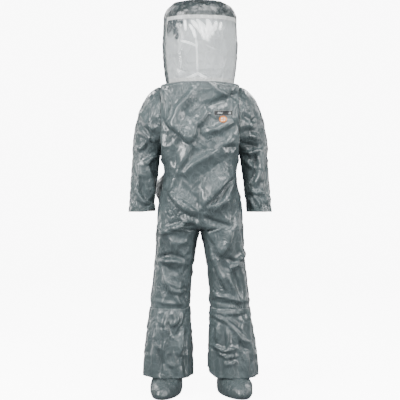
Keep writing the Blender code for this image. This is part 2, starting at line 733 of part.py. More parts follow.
def slider():
    """The slider's face plate with its bail, the back plate inside the slit, and the pull."""
    start = SLIDER_LENGTH / 2 + 0.002
    place = along_back(0.0, CLEAR, start)
    body = empty_at("slider_joint", place, SUIT)
    plate_low = CLEAR + CHAIN_WALL + CLEAR
    plate = box(
        "zip_slider", (2 * SLIDER_HALF, 0.0028, SLIDER_LENGTH), (0, plate_low + 0.0014, -start), ON_BACK,
        bevel=0.0008,
    )
    for name, z, size in (
        ("bail_top", -start + 0.006, (0.004, 0.0050, 0.0022)),
        ("bail_low", -start - 0.005, (0.004, 0.0050, 0.0022)),
    ):
        foot = box(f"slider_{name}", size, (0, plate_low + 0.0042, z), ON_BACK, collection=CUTTERS)
        cut(plate, cutter_in_suit(foot), "UNION")
    bridge = box(
        "slider_bail", (0.004, 0.0016, 0.0132), (0, plate_low + 0.0066, -start + 0.0005), ON_BACK,
        collection=CUTTERS,
    )
    cut(plate, cutter_in_suit(bridge), "UNION")
    add(plate, body, MOULDED)
    back = box(
        "zip_slider_back_plate", (2 * ZIP_GAP - 0.003, 0.0016, SLIDER_LENGTH), (0, -0.0008, -start), ON_BACK,
        bevel=0.0004,
    )
    add(back, body, MOULDED)
    pull_tab(start, plate_low, body)


def pull_tab(start, plate_low, body):
    """The pull: a tab with a window that hangs on the slider's bail."""
    pin_out = plate_low + 0.0043
    pin_down = start - 0.0010
    pivot = empty_at("pull_joint", along_back(0.0, pin_out, pin_down), body)
    tab = box(
        "zip_pull_tab", (0.010, 0.0014, PULL_LENGTH), (0, pin_out, -pin_down - PULL_LENGTH / 2 + 0.0022),
        ON_BACK,
    )
    window = box(
        "pull_window", (0.0052, 0.006, 0.0088), (0, pin_out, -pin_down - 0.0058), ON_BACK, collection=CUTTERS
    )
    grip = box(
        "pull_grip_window", (0.0050, 0.006, 0.0100), (0, pin_out, -pin_down - 0.0200), ON_BACK,
        collection=CUTTERS,
    )
    cut(tab, cutter_in_suit(window))
    cut(tab, cutter_in_suit(grip))
    add(tab, pivot, MOULDED)


def storm_flap():
    """The cover over the zip: sewn on at the wearer's right, arched over the pull, closed by hook and loop."""
    base = CLEAR + STRIP_WALL + CLEAR + STRIP_WALL + CLEAR
    axis = along_back(-STORM_HALF, base + STORM_WALL / 2, ZIP_LENGTH / 2)
    hinge = empty_at("storm_flap_joint", axis, SUIT)
    flat = STRIP_WIDTH + 0.004
    arch_half = STORM_HALF - flat
    profile = [(-STORM_HALF, 0.0)]
    profile += [
        (-arch_half * math.cos(a), (STORM_RISE - base) * math.sin(a) ** 1.2) for a in turns(0, math.pi, 10)
    ]
    profile += [(STORM_HALF, 0.0)]
    rows = [
        [ON_BACK @ Vector((x, base + STORM_WALL + out, -down)) for x, out in profile]
        for down in (-0.018, ZIP_LENGTH / 2, ZIP_LENGTH + 0.012)
    ]
    inside = Vector((0.0, 0.0, 1.2))
    smooth(add(sheet("storm_flap", rows, STORM_WALL, inside=inside), hinge, COATED))
    x = STORM_HALF - STRIP_WIDTH / 2 - 0.001
    size = (STRIP_WIDTH, STRIP_WALL, ZIP_LENGTH + 0.010)
    middle = -ZIP_LENGTH / 2
    loop = box("loop_strip", size, (x, CLEAR + STRIP_WALL / 2, middle), ON_BACK)
    add(loop, SUIT, HOOK)
    hook = box("hook_strip", size, (x, 2 * CLEAR + 1.5 * STRIP_WALL, middle), ON_BACK)
    add(hook, hinge, HOOK)


# ---------------------------------------------------------------- exhaust valves


def turned(name, profile, matrix, collection=None, steps=24):
    """A ring or disc turned about Z from a profile that runs down its outer side, then laid by the matrix."""
    bm = bmesh.new()
    verts = [bm.verts.new((r, 0.0, z)) for r, z in profile]
    for a, b in zip(verts, verts[1:]):
        bm.edges.new((a, b))
    if profile[0][0] > 0:
        bm.edges.new((verts[-1], verts[0]))
    obj = mesh_object(name, bm, collection)
    screw = obj.modifiers.new("turned", "SCREW")
    screw.steps = screw.render_steps = steps
    screw.use_merge_vertices = True
    screw.merge_threshold = 0.00005
    bpy.context.view_layer.update()
    mesh = bpy.data.meshes.new_from_object(obj.evaluated_get(bpy.context.evaluated_depsgraph_get()))
    bpy.data.objects.remove(obj)
    mesh.transform(matrix)
    made = bpy.data.objects.new(name, mesh)
    (collection or PARTS).objects.link(made)
    return made


def valve(side, sign, panel):
    """A one-way exhaust valve: a seat in a hole in the back, the disc that lifts, and a splash cover."""
    down = (ZIP_TOP - VALVE_HEIGHT) / math.cos(ZIP_LEAN)
    place = Matrix.Translation((sign * VALVE_X, 0.0, -down))
    out_of_back = ON_BACK @ place @ Matrix.Rotation(-math.pi / 2, 4, "X")
    hole = cylinder(f"valve_hole_{side}", VALVE_BORE + 0.0024, 0.02, out_of_back, 24, CUTTERS)
    cut(panel, cutter_in_suit(hole))
    neck = VALVE_BORE + 0.0020
    seat_top = CLEAR + VALVE_SEAT_RISE
    seat_profile = [
        (VALVE_RADIUS, seat_top),
        (VALVE_RADIUS, CLEAR),
        (neck, CLEAR),
        (neck, -VALVE_DEPTH),
        (VALVE_BORE, -VALVE_DEPTH),
        (VALVE_BORE, seat_top),
    ]
    add(turned(f"{side}_valve_seat", seat_profile, out_of_back), SUIT, MOULDED)
    disc_low = seat_top + CLEAR
    lift = empty_at(f"{side}_valve_disc_joint", out_of_back @ Vector((0, 0, disc_low)), SUIT)
    disc_profile = [
        (0.0, disc_low + DISC_WALL),
        (VALVE_BORE + DISC_LAP, disc_low + DISC_WALL * 0.7),
        (VALVE_BORE + DISC_LAP, disc_low),
        (0.0, disc_low),
    ]
    add(turned(f"{side}_valve_disc", disc_profile, out_of_back), lift, SILICONE)
    valve_cover(side, disc_low + DISC_WALL + VALVE_LIFT + COVER_ROOM + COVER_WALL, out_of_back)


def valve_cover(side, rise, out_of_back):
    """A moulded cap over the valve, open along its lower edge so that air leaves downwards."""
    radius = VALVE_RADIUS + COVER_LAP
    profile = [(radius, CLEAR), (radius, rise * 0.55), (radius * 0.86, rise * 0.9), (radius * 0.5, rise)]
    profile.append((0.0, rise))
    inner = [(max(r - COVER_WALL, 0.0), max(z - COVER_WALL, CLEAR)) for r, z in profile]
    outline = [*reversed(profile), *inner]
    cap = turned(f"{side}_valve_cover", outline, out_of_back)
    vent_size = (2 * radius + 0.010, 0.020, 0.0050)
    vent = box(f"valve_vent_{side}", vent_size, (0, radius, CLEAR + 0.0022), out_of_back, collection=CUTTERS)
    cut(cap, cutter_in_suit(vent))
    add(cap, SUIT, MOULDED)


# ---------------------------------------------------------------- assembly


def badge_outlines():
    """The plain label on the wearer's left chest, and the small oval tag under it."""
    half, rise = LABEL_HALF
    label = [(-half, rise), (half, rise), (half, -rise), (-half, -rise)]
    corners = turns(0, 2 * math.pi, 16)[:-1]
    tag = [(TAG_HALF[0] * math.cos(a), TAG_HALF[1] * math.sin(a)) for a in corners]
    return label, tag


def main():
    hood_panels()
    crown()
    visor_tape()
    inner_tapes()
    hang_loop()
    cutters = armhole_cutters()
    front = body_front()
    panels = [body_back(side, sign) for side, sign in (("left", 1), ("right", -1))]
    for cutter in cutters:
        cut(front, cutter)
    for panel, cutter in zip(panels, cutters):
        cut(panel, cutter)
    label, tag = badge_outlines()
    front_patch("chest_label", *LABEL_MIDDLE, label, PATCH_WALL, LABEL)
    front_patch("chest_tag", *TAG_MIDDLE, tag, PATCH_WALL, BADGE)
    for side, sign, panel in (("left", 1, panels[0]), ("right", -1, panels[1])):
        sleeve(side, sign)
        leg(side, sign)
        valve(side, sign, panel)
    zip_chain()
    zip_tapes()
    slider()
    storm_flap()


main()
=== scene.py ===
"""Looks of a hanging chemical protective suit: coated fabric shells, clear visor, seam tapes and fittings.

Heights in the tables and folds count from the soles of the booties, in metres.
"""

import math

import bmesh
import bpy
import numpy as np
from bpy.props import FloatProperty, FloatVectorProperty, IntProperty, PointerProperty
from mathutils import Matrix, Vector
from mathutils.bvhtree import BVHTree


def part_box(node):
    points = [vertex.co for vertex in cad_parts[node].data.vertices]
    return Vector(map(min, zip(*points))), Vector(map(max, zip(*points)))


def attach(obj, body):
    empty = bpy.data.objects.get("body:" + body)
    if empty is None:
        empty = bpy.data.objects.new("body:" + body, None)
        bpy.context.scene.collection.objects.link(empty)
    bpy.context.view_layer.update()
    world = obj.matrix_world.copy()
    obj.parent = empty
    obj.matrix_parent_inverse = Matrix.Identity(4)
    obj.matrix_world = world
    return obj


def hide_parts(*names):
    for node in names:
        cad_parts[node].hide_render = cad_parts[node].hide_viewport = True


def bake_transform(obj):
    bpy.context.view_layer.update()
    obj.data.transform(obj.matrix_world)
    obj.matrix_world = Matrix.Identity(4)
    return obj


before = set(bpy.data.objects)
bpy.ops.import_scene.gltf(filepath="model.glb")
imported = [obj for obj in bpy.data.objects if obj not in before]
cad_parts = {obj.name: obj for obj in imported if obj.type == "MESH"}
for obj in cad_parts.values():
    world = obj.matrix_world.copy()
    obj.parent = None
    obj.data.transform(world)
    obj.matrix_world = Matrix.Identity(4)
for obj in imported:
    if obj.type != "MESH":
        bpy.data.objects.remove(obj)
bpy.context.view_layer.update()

bl_info = {
    "name": "Chemical Protective Suit",
    "version": (1, 0, 0),
    "blender": (4, 5, 0),
    "location": "3D View > Sidebar > Suit",
    "description": "Builds the fabric, visor and fittings of a hanging chemical protective suit",
    "category": "Add Mesh",
}

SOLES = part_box("left_bootie_sole")[0].z
SIDES = (("left", 1), ("right", -1))
SURFACE_PREFIX = "suit "  # keeps these materials apart from the frame's own

# ---------------------------------------------------------------- the suit's sizes, as the CAD has them

BROW = 1.811
HOOD_BASE = 1.500
BODY_TOP = 1.499
CROWN_TOP = 1.910
CROWN_TURN = math.radians(82)
CROWN_ROUND = 0.8
SHOULDER_PLANE = 0.187
ARMHOLE_RADIUS = 0.150
ARMHOLE_HEIGHT = 1.340
SLEEVE_START = 0.1885
SLEEVE_TURN = 1.146
SLEEVE_REACH = 0.144
SLEEVE_DEPTH = 0.077
SLEEVE_INSET = 0.007
CUFF_BOTTOM = 0.880
WAIST_END = 0.860
CROTCH = 0.790
FLAP_TOP = 0.415
FLAP_HEM = 0.085
UNDER_FLAP = 0.022  # how far the trouser leg goes on inside the flap
LEG_SPLIT = 0.635
ZIP_TOP = 1.462
ZIP_LOW = 0.900
ZIP_GAP = 0.006
BACK_START = 1.490
BACK_TOP = 0.235
BACK_LOW = 0.290
VALVE_X = 0.096
VALVE_HEIGHT = 1.375
TOE_OUT = {"left": 17.0, "right": 9.0}
FOOT_INWARD = {"left": 0.014, "right": 0.006}
ANKLE = 0.118
LABEL_MIDDLE = (0.110, 1.349)
LABEL_HALF = (0.043, 0.0115)
TAG_MIDDLE = (0.109, 1.3195)
TAG_HALF = (0.0205, 0.0170)
TAPE_LIFT = 0.0012
FLAP_WALL = 0.0012
WEBBING_HALF = 0.0070
WEBBING_THICK = 0.0011
HALF_ROUND = 0.36  # length whose cells give half the fabric's columns, on half the body and on a sleeve

# height, half width, front, back, squareness
HOOD = (
    (1.500, 0.165, 0.176, 0.192, 2.6),
    (1.560, 0.174, 0.183, 0.196, 2.6),
    (1.630, 0.182, 0.188, 0.199, 2.6),
    (1.700, 0.184, 0.189, 0.200, 2.6),
    (1.811, 0.178, 0.182, 0.194, 2.6),
)
BODY = (
    (0.860, 0.208, 0.160, 0.262, 3.0),
    (0.900, 0.205, 0.164, 0.296, 3.0),
    (0.950, 0.198, 0.167, 0.291, 3.0),
    (1.000, 0.184, 0.167, 0.286, 3.1),
    (1.050, 0.173, 0.167, 0.281, 3.2),
    (1.110, 0.176, 0.170, 0.275, 3.6),
    (1.190, 0.225, 0.177, 0.267, 4.0),
    (1.270, 0.225, 0.181, 0.260, 4.0),
    (1.340, 0.225, 0.182, 0.253, 4.0),
    (1.420, 0.225, 0.180, 0.246, 4.0),
    (1.490, 0.225, 0.177, 0.240, 4.0),
    (1.499, 0.165, 0.176, 0.192, 2.6),
)
# height, middle of the leg, half width, front, back, squareness
LEG = (
    (0.859, 0.000, 0.208, 0.160, 0.262, 3.0),
    (0.835, 0.036, 0.173, 0.154, 0.232, 2.9),
    (0.812, 0.072, 0.139, 0.146, 0.200, 2.8),
    (0.790, 0.106, 0.106, 0.137, 0.172, 2.6),
    (0.740, 0.114, 0.101, 0.124, 0.142, 2.4),
    (0.660, 0.122, 0.096, 0.112, 0.116, 2.3),
    (0.610, 0.130, 0.095, 0.104, 0.104, 2.2),
    (0.530, 0.138, 0.096, 0.098, 0.098, 2.2),
    (0.450, 0.145, 0.097, 0.096, 0.096, 2.2),
    (0.415, 0.146, 0.096, 0.094, 0.094, 2.2),
    (0.300, 0.150, 0.084, 0.083, 0.083, 2.1),
    (0.119, 0.155, 0.068, 0.070, 0.074, 2.0),
)
BOOT_FLAP = (
    (0.415, 0.146, 0.100, 0.098, 0.098, 2.2),
    (0.300, 0.152, 0.110, 0.108, 0.110, 2.2),
    (0.190, 0.157, 0.119, 0.117, 0.118, 2.2),
    (0.085, 0.160, 0.122, 0.122, 0.122, 2.2),
)
# height, middle along the foot, half length, half width
FOOT = (
    (0.118, -0.002, 0.072, 0.068),
    (0.086, 0.010, 0.090, 0.070),
    (0.072, 0.042, 0.134, 0.072),
    (0.050, 0.064, 0.163, 0.074),
    (0.024, 0.070, 0.169, 0.073),
    (0.006, 0.070, 0.162, 0.067),
)

# the loop's webbing across and through, as shares of its half width and half thickness
WEBBING_SECTION = (
    (-1, -0.6),
    (-0.86, -1),
    (0.86, -1),
    (1, -0.6),
    (1, 0.6),
    (0.86, 1),
    (-0.86, 1),
    (-1, 0.6),
)

# ---------------------------------------------------------------- folds
# Each is (points of x and height, rise, run on the side towards +X or upwards, run on the other side).

BODY_FOLDS = (
    (((-0.150, 1.310), (-0.095, 1.262), (-0.043, 1.208)), 0.016, 0.075, 0.022),
    (((-0.036, 1.212), (-0.070, 1.140), (-0.100, 1.090), (-0.141, 0.975)), 0.013, 0.026, 0.060),
    (((0.172, 1.240), (0.067, 1.165), (-0.031, 1.110), (-0.085, 1.056)), 0.014, 0.030, 0.062),
    (((0.162, 1.075), (0.105, 1.012), (0.010, 0.904)), 0.017, 0.022, 0.085),
    (((-0.142, 0.968), (-0.090, 0.915), (-0.030, 0.866)), 0.014, 0.070, 0.016),
    (((0.020, 0.900), (0.080, 0.915), (0.150, 0.952)), 0.012, 0.020, 0.060),
    (((-0.190, 0.775), (-0.110, 0.806), (-0.030, 0.852)), 0.012, 0.040, 0.022),
    (((-0.020, 1.470), (-0.100, 1.373), (-0.132, 1.305)), 0.014, 0.048, 0.030),
    (((0.196, 1.452), (0.110, 1.412), (0.024, 1.380)), -0.010, 0.030, 0.045),
    (((0.052, 1.362), (-0.021, 1.285), (-0.043, 1.215)), 0.011, 0.030, 0.045),
    (((0.164, 1.315), (0.100, 1.280), (0.029, 1.258)), 0.011, 0.035, 0.030),
    (((0.180, 1.190), (0.110, 1.190), (0.045, 1.165)), -0.008, 0.022, 0.030),
    (((-0.120, 1.180), (-0.110, 1.090), (-0.150, 1.000)), -0.006, 0.030, 0.030),
    (((0.166, 1.060), (0.140, 0.990), (0.110, 0.930)), 0.009, 0.030, 0.018),
    (((-0.177, 1.455), (-0.150, 1.400), (-0.158, 1.330)), 0.010, 0.020, 0.024),
    (((0.060, 1.470), (0.120, 1.440), (0.170, 1.400)), 0.007, 0.018, 0.026),
    (((-0.100, 0.940), (-0.060, 0.905), (-0.015, 0.880)), 0.009, 0.016, 0.030),
    (((0.000, 0.985), (-0.006, 0.900), (0.000, 0.820)), -0.006, 0.014, 0.014),
    (((-0.060, 0.870), (-0.045, 0.845), (-0.008, 0.815)), 0.008, 0.020, 0.014),
    (((0.015, 0.860), (0.060, 0.838), (0.150, 0.812)), -0.009, 0.016, 0.022),
    (((-0.170, 0.812), (-0.100, 0.835), (-0.030, 0.815)), -0.008, 0.014, 0.020),
    (((-0.135, 0.745), (-0.120, 0.715), (-0.110, 0.690)), 0.009, 0.020, 0.026),
    (((-0.150, 0.758), (-0.100, 0.735), (-0.060, 0.742)), 0.008, 0.016, 0.026),
    (((-0.206, 0.664), (-0.140, 0.676), (-0.075, 0.660)), -0.010, 0.012, 0.020),
    (((-0.196, 0.645), (-0.140, 0.650), (-0.085, 0.640)), 0.010, 0.014, 0.036),
    (((-0.187, 0.640), (-0.150, 0.600), (-0.110, 0.592)), -0.007, 0.022, 0.016),
    (((-0.178, 0.570), (-0.139, 0.508), (-0.105, 0.497), (-0.065, 0.499)), 0.010, 0.014, 0.024),
    (((-0.184, 0.600), (-0.150, 0.545), (-0.110, 0.520), (-0.070, 0.525)), 0.008, 0.016, 0.016),
    (((-0.120, 0.480), (-0.105, 0.450), (-0.090, 0.430)), 0.009, 0.016, 0.020),
    (((-0.085, 0.545), (-0.070, 0.500), (-0.060, 0.440)), -0.008, 0.016, 0.016),
    (((0.030, 0.815), (0.070, 0.745), (0.106, 0.668)), 0.011, 0.040, 0.018),
    (((0.152, 0.797), (0.135, 0.735), (0.106, 0.668)), 0.012, 0.018, 0.040),
    (((0.036, 0.772), (0.085, 0.640), (0.130, 0.505)), 0.011, 0.016, 0.020),
    (((0.052, 0.700), (0.092, 0.600), (0.118, 0.520)), 0.009, 0.012, 0.014),
    (((0.215, 0.690), (0.190, 0.645), (0.150, 0.606)), 0.011, 0.024, 0.018),
    (((0.130, 0.660), (0.165, 0.640), (0.205, 0.645)), -0.009, 0.016, 0.018),
    (((0.160, 0.600), (0.180, 0.540), (0.190, 0.470)), -0.009, 0.022, 0.026),
    (((0.110, 0.600), (0.150, 0.540), (0.190, 0.460)), 0.008, 0.030, 0.026),
    (((0.070, 0.480), (0.130, 0.470), (0.200, 0.450)), 0.007, 0.014, 0.018),
    (((0.060, 0.450), (0.120, 0.440), (0.200, 0.425)), -0.006, 0.012, 0.014),
    (((-0.210, 0.450), (-0.150, 0.440), (-0.080, 0.430)), 0.006, 0.014, 0.014),
)
SLEEVE_FOLDS = {
    "right": (
        (((-0.200, 1.400), (-0.230, 1.300), (-0.215, 1.215)), 0.012, 0.030, 0.030),
        (((-0.290, 1.370), (-0.250, 1.310), (-0.205, 1.270)), 0.012, 0.022, 0.030),
        (((-0.300, 1.285), (-0.262, 1.262), (-0.212, 1.210)), 0.010, 0.018, 0.026),
        (((-0.262, 1.225), (-0.276, 1.195), (-0.310, 1.180)), 0.010, 0.018, 0.020),
        (((-0.215, 1.160), (-0.245, 1.130), (-0.262, 1.110)), 0.010, 0.020, 0.020),
        (((-0.262, 1.140), (-0.240, 1.040), (-0.228, 0.940)), 0.012, 0.018, 0.040),
        (((-0.300, 1.130), (-0.290, 1.060), (-0.318, 0.960)), 0.010, 0.030, 0.018),
        (((-0.330, 1.080), (-0.320, 1.000), (-0.332, 0.910)), -0.008, 0.018, 0.018),
        (((-0.300, 1.060), (-0.280, 0.980), (-0.250, 0.925)), -0.008, 0.026, 0.026),
        (((-0.312, 0.990), (-0.280, 0.940), (-0.250, 0.915)), 0.008, 0.018, 0.024),
    ),
    "left": (
        (((0.200, 1.410), (0.235, 1.340), (0.240, 1.280)), 0.010, 0.026, 0.030),
        (((0.205, 1.350), (0.240, 1.320), (0.290, 1.310)), -0.010, 0.022, 0.022),
        (((0.215, 1.290), (0.250, 1.300), (0.290, 1.330)), 0.010, 0.022, 0.022),
        (((0.205, 1.235), (0.240, 1.250), (0.285, 1.235)), 0.012, 0.020, 0.022),
        (((0.205, 1.205), (0.240, 1.200), (0.285, 1.195)), -0.010, 0.018, 0.020),
        (((0.215, 1.170), (0.250, 1.165), (0.290, 1.185)), 0.010, 0.016, 0.022),
        (((0.225, 1.130), (0.245, 1.110), (0.262, 1.085)), 0.010, 0.018, 0.022),
        (((0.268, 1.170), (0.262, 1.080), (0.254, 1.020)), -0.010, 0.024, 0.024),
        (((0.300, 1.180), (0.300, 1.080), (0.262, 1.000)), 0.011, 0.026, 0.026),
        (((0.320, 1.120), (0.330, 1.020), (0.322, 0.930)), -0.008, 0.022, 0.022),
        (((0.250, 0.985), (0.275, 0.972), (0.300, 0.985)), 0.010, 0.016, 0.020),
        (((0.262, 0.960), (0.285, 0.930), (0.290, 0.900)), 0.009, 0.016, 0.016),
        (((0.300, 0.985), (0.318, 0.950), (0.330, 0.915)), 0.008, 0.018, 0.018),
        (((0.245, 0.950), (0.258, 0.920), (0.262, 0.895)), 0.008, 0.012, 0.014),
    ),
}
FLAP_FOLDS = {
    "right": (
        (((-0.130, 0.410), (-0.118, 0.360), (-0.128, 0.320)), 0.009, 0.018, 0.020),
        (((-0.100, 0.405), (-0.110, 0.360), (-0.140, 0.330)), 0.008, 0.014, 0.016),
        (((-0.085, 0.400), (-0.095, 0.350), (-0.120, 0.300)), 0.008, 0.016, 0.016),
        (((-0.150, 0.400), (-0.165, 0.340), (-0.150, 0.290)), 0.007, 0.016, 0.018),
        (((-0.085, 0.330), (-0.090, 0.260), (-0.100, 0.190)), 0.010, 0.020, 0.022),
        (((-0.070, 0.300), (-0.072, 0.200), (-0.068, 0.095)), -0.009, 0.018, 0.018),
        (((-0.110, 0.280), (-0.122, 0.190), (-0.118, 0.095)), 0.007, 0.030, 0.024),
        (((-0.200, 0.390), (-0.210, 0.280), (-0.232, 0.100)), 0.007, 0.024, 0.030),
        (((-0.175, 0.350), (-0.165, 0.270), (-0.180, 0.190)), 0.007, 0.020, 0.020),
        (((-0.150, 0.160), (-0.142, 0.148), (-0.128, 0.142)), 0.006, 0.014, 0.014),
        (((-0.200, 0.230), (-0.188, 0.160), (-0.194, 0.095)), -0.006, 0.022, 0.022),
    ),
    "left": (
        (((0.065, 0.405), (0.120, 0.392), (0.205, 0.398)), 0.008, 0.012, 0.018),
        (((0.066, 0.380), (0.120, 0.360), (0.180, 0.300)), 0.008, 0.016, 0.020),
        (((0.120, 0.380), (0.160, 0.352), (0.185, 0.330)), 0.007, 0.014, 0.016),
        (((0.085, 0.335), (0.088, 0.300), (0.082, 0.262)), 0.009, 0.016, 0.020),
        (((0.130, 0.330), (0.135, 0.270), (0.138, 0.230)), 0.008, 0.016, 0.018),
        (((0.070, 0.235), (0.120, 0.215), (0.165, 0.228)), 0.009, 0.014, 0.020),
        (((0.085, 0.205), (0.125, 0.185), (0.160, 0.190)), 0.007, 0.012, 0.014),
        (((0.110, 0.170), (0.130, 0.150), (0.170, 0.160)), 0.006, 0.012, 0.014),
        (((0.130, 0.200), (0.124, 0.150), (0.120, 0.100)), 0.008, 0.016, 0.018),
        (((0.180, 0.300), (0.200, 0.270), (0.235, 0.250)), 0.008, 0.016, 0.020),
        (((0.190, 0.260), (0.205, 0.230), (0.235, 0.215)), -0.008, 0.014, 0.018),
        (((0.215, 0.220), (0.222, 0.160), (0.225, 0.100)), 0.007, 0.020, 0.020),
    ),
}

# points of x and height, half width and strength of the visor film's painted glare above 0 and painted shade
# below
VISOR_GLARE_AND_SHADE = (
    (((-0.128, 1.800), (-0.118, 1.745), (-0.105, 1.690)), 0.030, -0.60),
    (((-0.100, 1.805), (-0.040, 1.800)), 0.016, -0.40),
    (((0.060, 1.806), (0.120, 1.795)), 0.014, -0.35),
    (((-0.052, 1.770), (-0.030, 1.735), (-0.020, 1.700)), 0.012, 0.70),
    (((-0.004, 1.790), (0.010, 1.730), (0.022, 1.690)), 0.014, 0.80),
    (((0.040, 1.780), (0.030, 1.740), (0.040, 1.690)), 0.012, 0.75),
    (((-0.072, 1.792), (-0.068, 1.735)), 0.012, 0.55),
    (((-0.045, 1.790), (-0.005, 1.748), (0.044, 1.684)), 0.018, 0.65),
    (((-0.020, 1.795), (0.028, 1.745), (0.050, 1.700)), 0.018, 0.60),
    (((0.030, 1.795), (0.052, 1.750), (0.058, 1.712)), 0.020, 0.65),
    (((0.078, 1.785), (0.066, 1.735)), 0.016, 0.60),
    (((0.100, 1.782), (0.092, 1.738)), 0.012, 0.50),
    (((-0.098, 1.694), (-0.060, 1.682), (-0.016, 1.664)), 0.009, 0.45),
    (((-0.018, 1.715), (-0.014, 1.620), (-0.012, 1.535)), 0.006, 0.35),
    (((-0.080, 1.506), (-0.040, 1.520), (-0.010, 1.536), (0.012, 1.522), (0.050, 1.506)), 0.010, 0.50),
    (((-0.110, 1.560), (-0.085, 1.545), (-0.070, 1.542)), 0.006, 0.25),
    (((0.030, 1.668), (0.055, 1.655), (0.075, 1.650)), 0.006, 0.20),
)


# ---------------------------------------------------------------- settings


class SuitFabricSettings(bpy.types.PropertyGroup):
    """Colour and finish of the coated fabric."""

    colour: FloatVectorProperty(
        name="Fabric Colour",
        description="Colour of the coated fabric",
        subtype="COLOR",
        size=3,
        min=0.0,
        max=1.0,
        default=(0.078, 0.102, 0.106),
    )
    lining: FloatVectorProperty(
        name="Lining Colour",
        description="Colour of the fabric's uncoated inner face",
        subtype="COLOR",
        size=3,
        min=0.0,
        max=1.0,
        default=(0.62, 0.64, 0.65),
    )
    tape: FloatVectorProperty(
        name="Tape Colour",
        description="Colour of the heat-sealed seam tape",
        subtype="COLOR",
        size=3,
        min=0.0,
        max=1.0,
        default=(0.60, 0.62, 0.61),
    )
    gloss: FloatProperty(
        name="Coating Roughness",
        description="Roughness of the coating, from mirror to matt",
        subtype="FACTOR",
        min=0.05,
        max=1.0,
        default=0.32,
    )


class SuitFoldSettings(bpy.types.PropertyGroup):
    """How the fabric creases and hangs."""

    slack: FloatProperty(
        name="Slack",
        description="Spare fabric that the cloth simulation lays into wrinkles, as a share of its length",
        subtype="FACTOR",
        min=0.0,
        max=0.2,
        default=0.045,
    )
    frames: IntProperty(
        name="Settling Frames",
        description="Frames that the fabric is given to settle",
        min=1,
        max=80,
        default=22,
    )
    reach: FloatProperty(
        name="Most Movement",
        description="Furthest that the simulation may move the fabric",
        subtype="DISTANCE",
        unit="LENGTH",
        min=0.0,
        default=0.012,
    )
    depth: FloatProperty(
        name="Fold Depth",
        description="Share of the full depth of the main folds",
        subtype="FACTOR",
        min=0.0,
        max=3.0,
        default=1.7,
    )
    cell: FloatProperty(
        name="Fabric Cell",
        description="Side of one face of the fabric before it is subdivided",
        subtype="DISTANCE",
        unit="LENGTH",
        min=0.004,
        default=0.0115,
    )


class SuitVisorSettings(bpy.types.PropertyGroup):
    """The clear film over the face."""

    tint: FloatVectorProperty(
        name="Visor Tint",
        description="Colour of the clear film",
        subtype="COLOR",
        size=3,
        min=0.0,
        max=1.0,
        default=(0.78, 0.83, 0.84),
    )
    haze: FloatProperty(
        name="Visor Haze",
        description="How much of the film's own surface shows, from clear to opaque",
        subtype="FACTOR",
        min=0.0,
        max=1.0,
        default=0.42,
    )
    # strength of the film's emission: a painted glow that stands in for light from behind and for the glare
    # on its crumpled top
    through: FloatProperty(
        name="Light Through",
        description="Brightness of the light that comes through the film from behind",
        default=2.2,
        min=0.0,
        max=5.0,
    )
    tape_width: FloatProperty(
        name="Frame Width",
        description="Width of the sealed band round the visor",
        subtype="DISTANCE",
        unit="LENGTH",
        min=0.002,
        default=0.020,
    )
    turn: FloatProperty(
        name="Visor Turn",
        description="How far the visor sits round towards the wearer's left",
        subtype="ANGLE",
        unit="ROTATION",
        default=math.radians(6.0),
    )
    spread: FloatProperty(
        name="Visor Half Angle",
        description="Half of the hood's outline that the visor takes",
        subtype="ANGLE",
        unit="ROTATION",
        default=math.radians(61.0),
    )


class SuitStageSettings(bpy.types.PropertyGroup):
    """Backdrop, lights and camera."""

    backdrop: FloatVectorProperty(
        name="Backdrop Colour",
        description="Colour of the floor and backdrop",
        subtype="COLOR",
        size=3,
        min=0.0,
        max=1.0,
        default=(0.90, 0.90, 0.90),
    )
    glow: FloatProperty(
        name="Backdrop Glow",
        description="Light that the backdrop itself gives towards the camera",
        min=0.0,
        default=9.0,
    )
    camera_distance: FloatProperty(
        name="Camera Distance",
        description="Distance of the camera in front of the suit's middle",
        subtype="DISTANCE",
        unit="LENGTH",
        default=4.5,
    )
    camera_height: FloatProperty(
        name="Camera Height",
        description="Height of the camera above the soles",
        subtype="DISTANCE",
        unit="LENGTH",
        default=0.938,
    )
    lens: FloatProperty(
        name="Lens",
        description="Focal length of the camera",
        subtype="DISTANCE_CAMERA",
        unit="CAMERA",
        default=82.4,
    )


# ---------------------------------------------------------------- node helpers


def node(tree, kind, label="", **values):
    made = tree.nodes.new(kind)
    made.label = label
    for key, value in values.items():
        setattr(made, key, value)
    return made


def wire(tree, source, target):
    tree.links.new(source, target)


def maths(tree, operation, first, second=None, clamp=False):
    made = node(tree, "ShaderNodeMath", operation=operation, use_clamp=clamp)
    for socket, value in zip(made.inputs, (first, second)):
        if value is None:
            continue
        if isinstance(value, (int, float)):
            socket.default_value = value
        else:
            wire(tree, value, socket)
    return made.outputs[0]


def blend_colour(tree, factor, first, second, mode="MIX"):
    made = node(tree, "ShaderNodeMix", data_type="RGBA", blend_type=mode)
    for socket, value in ((made.inputs[0], factor), (made.inputs[6], first), (made.inputs[7], second)):
        if isinstance(value, (int, float)):
            socket.default_value = value
        elif isinstance(value, (tuple, list)):
            socket.default_value = (*value, 1.0)
        else:
            wire(tree, value, socket)
    return made.outputs[2]


def remap(tree, value, low, high, to_low, to_high):
    made = node(tree, "ShaderNodeMapRange", clamp=True)
    wire(tree, value, made.inputs[0])
    for socket, number in zip(made.inputs[1:5], (low, high, to_low, to_high)):
        socket.default_value = number
    return made.outputs[0]


def new_group(name, inputs, outputs):
    """A shader node group. Inputs are (name, socket type, default) and outputs (name, socket type)."""
    tree = bpy.data.node_groups.new(name, "ShaderNodeTree")
    for label, kind, default in inputs:
        socket = tree.interface.new_socket(name=label, in_out="INPUT", socket_type=kind)
        if default is not None:
            socket.default_value = default
    for label, kind in outputs:
        tree.interface.new_socket(name=label, in_out="OUTPUT", socket_type=kind)
    return tree, node(tree, "NodeGroupInput"), node(tree, "NodeGroupOutput")


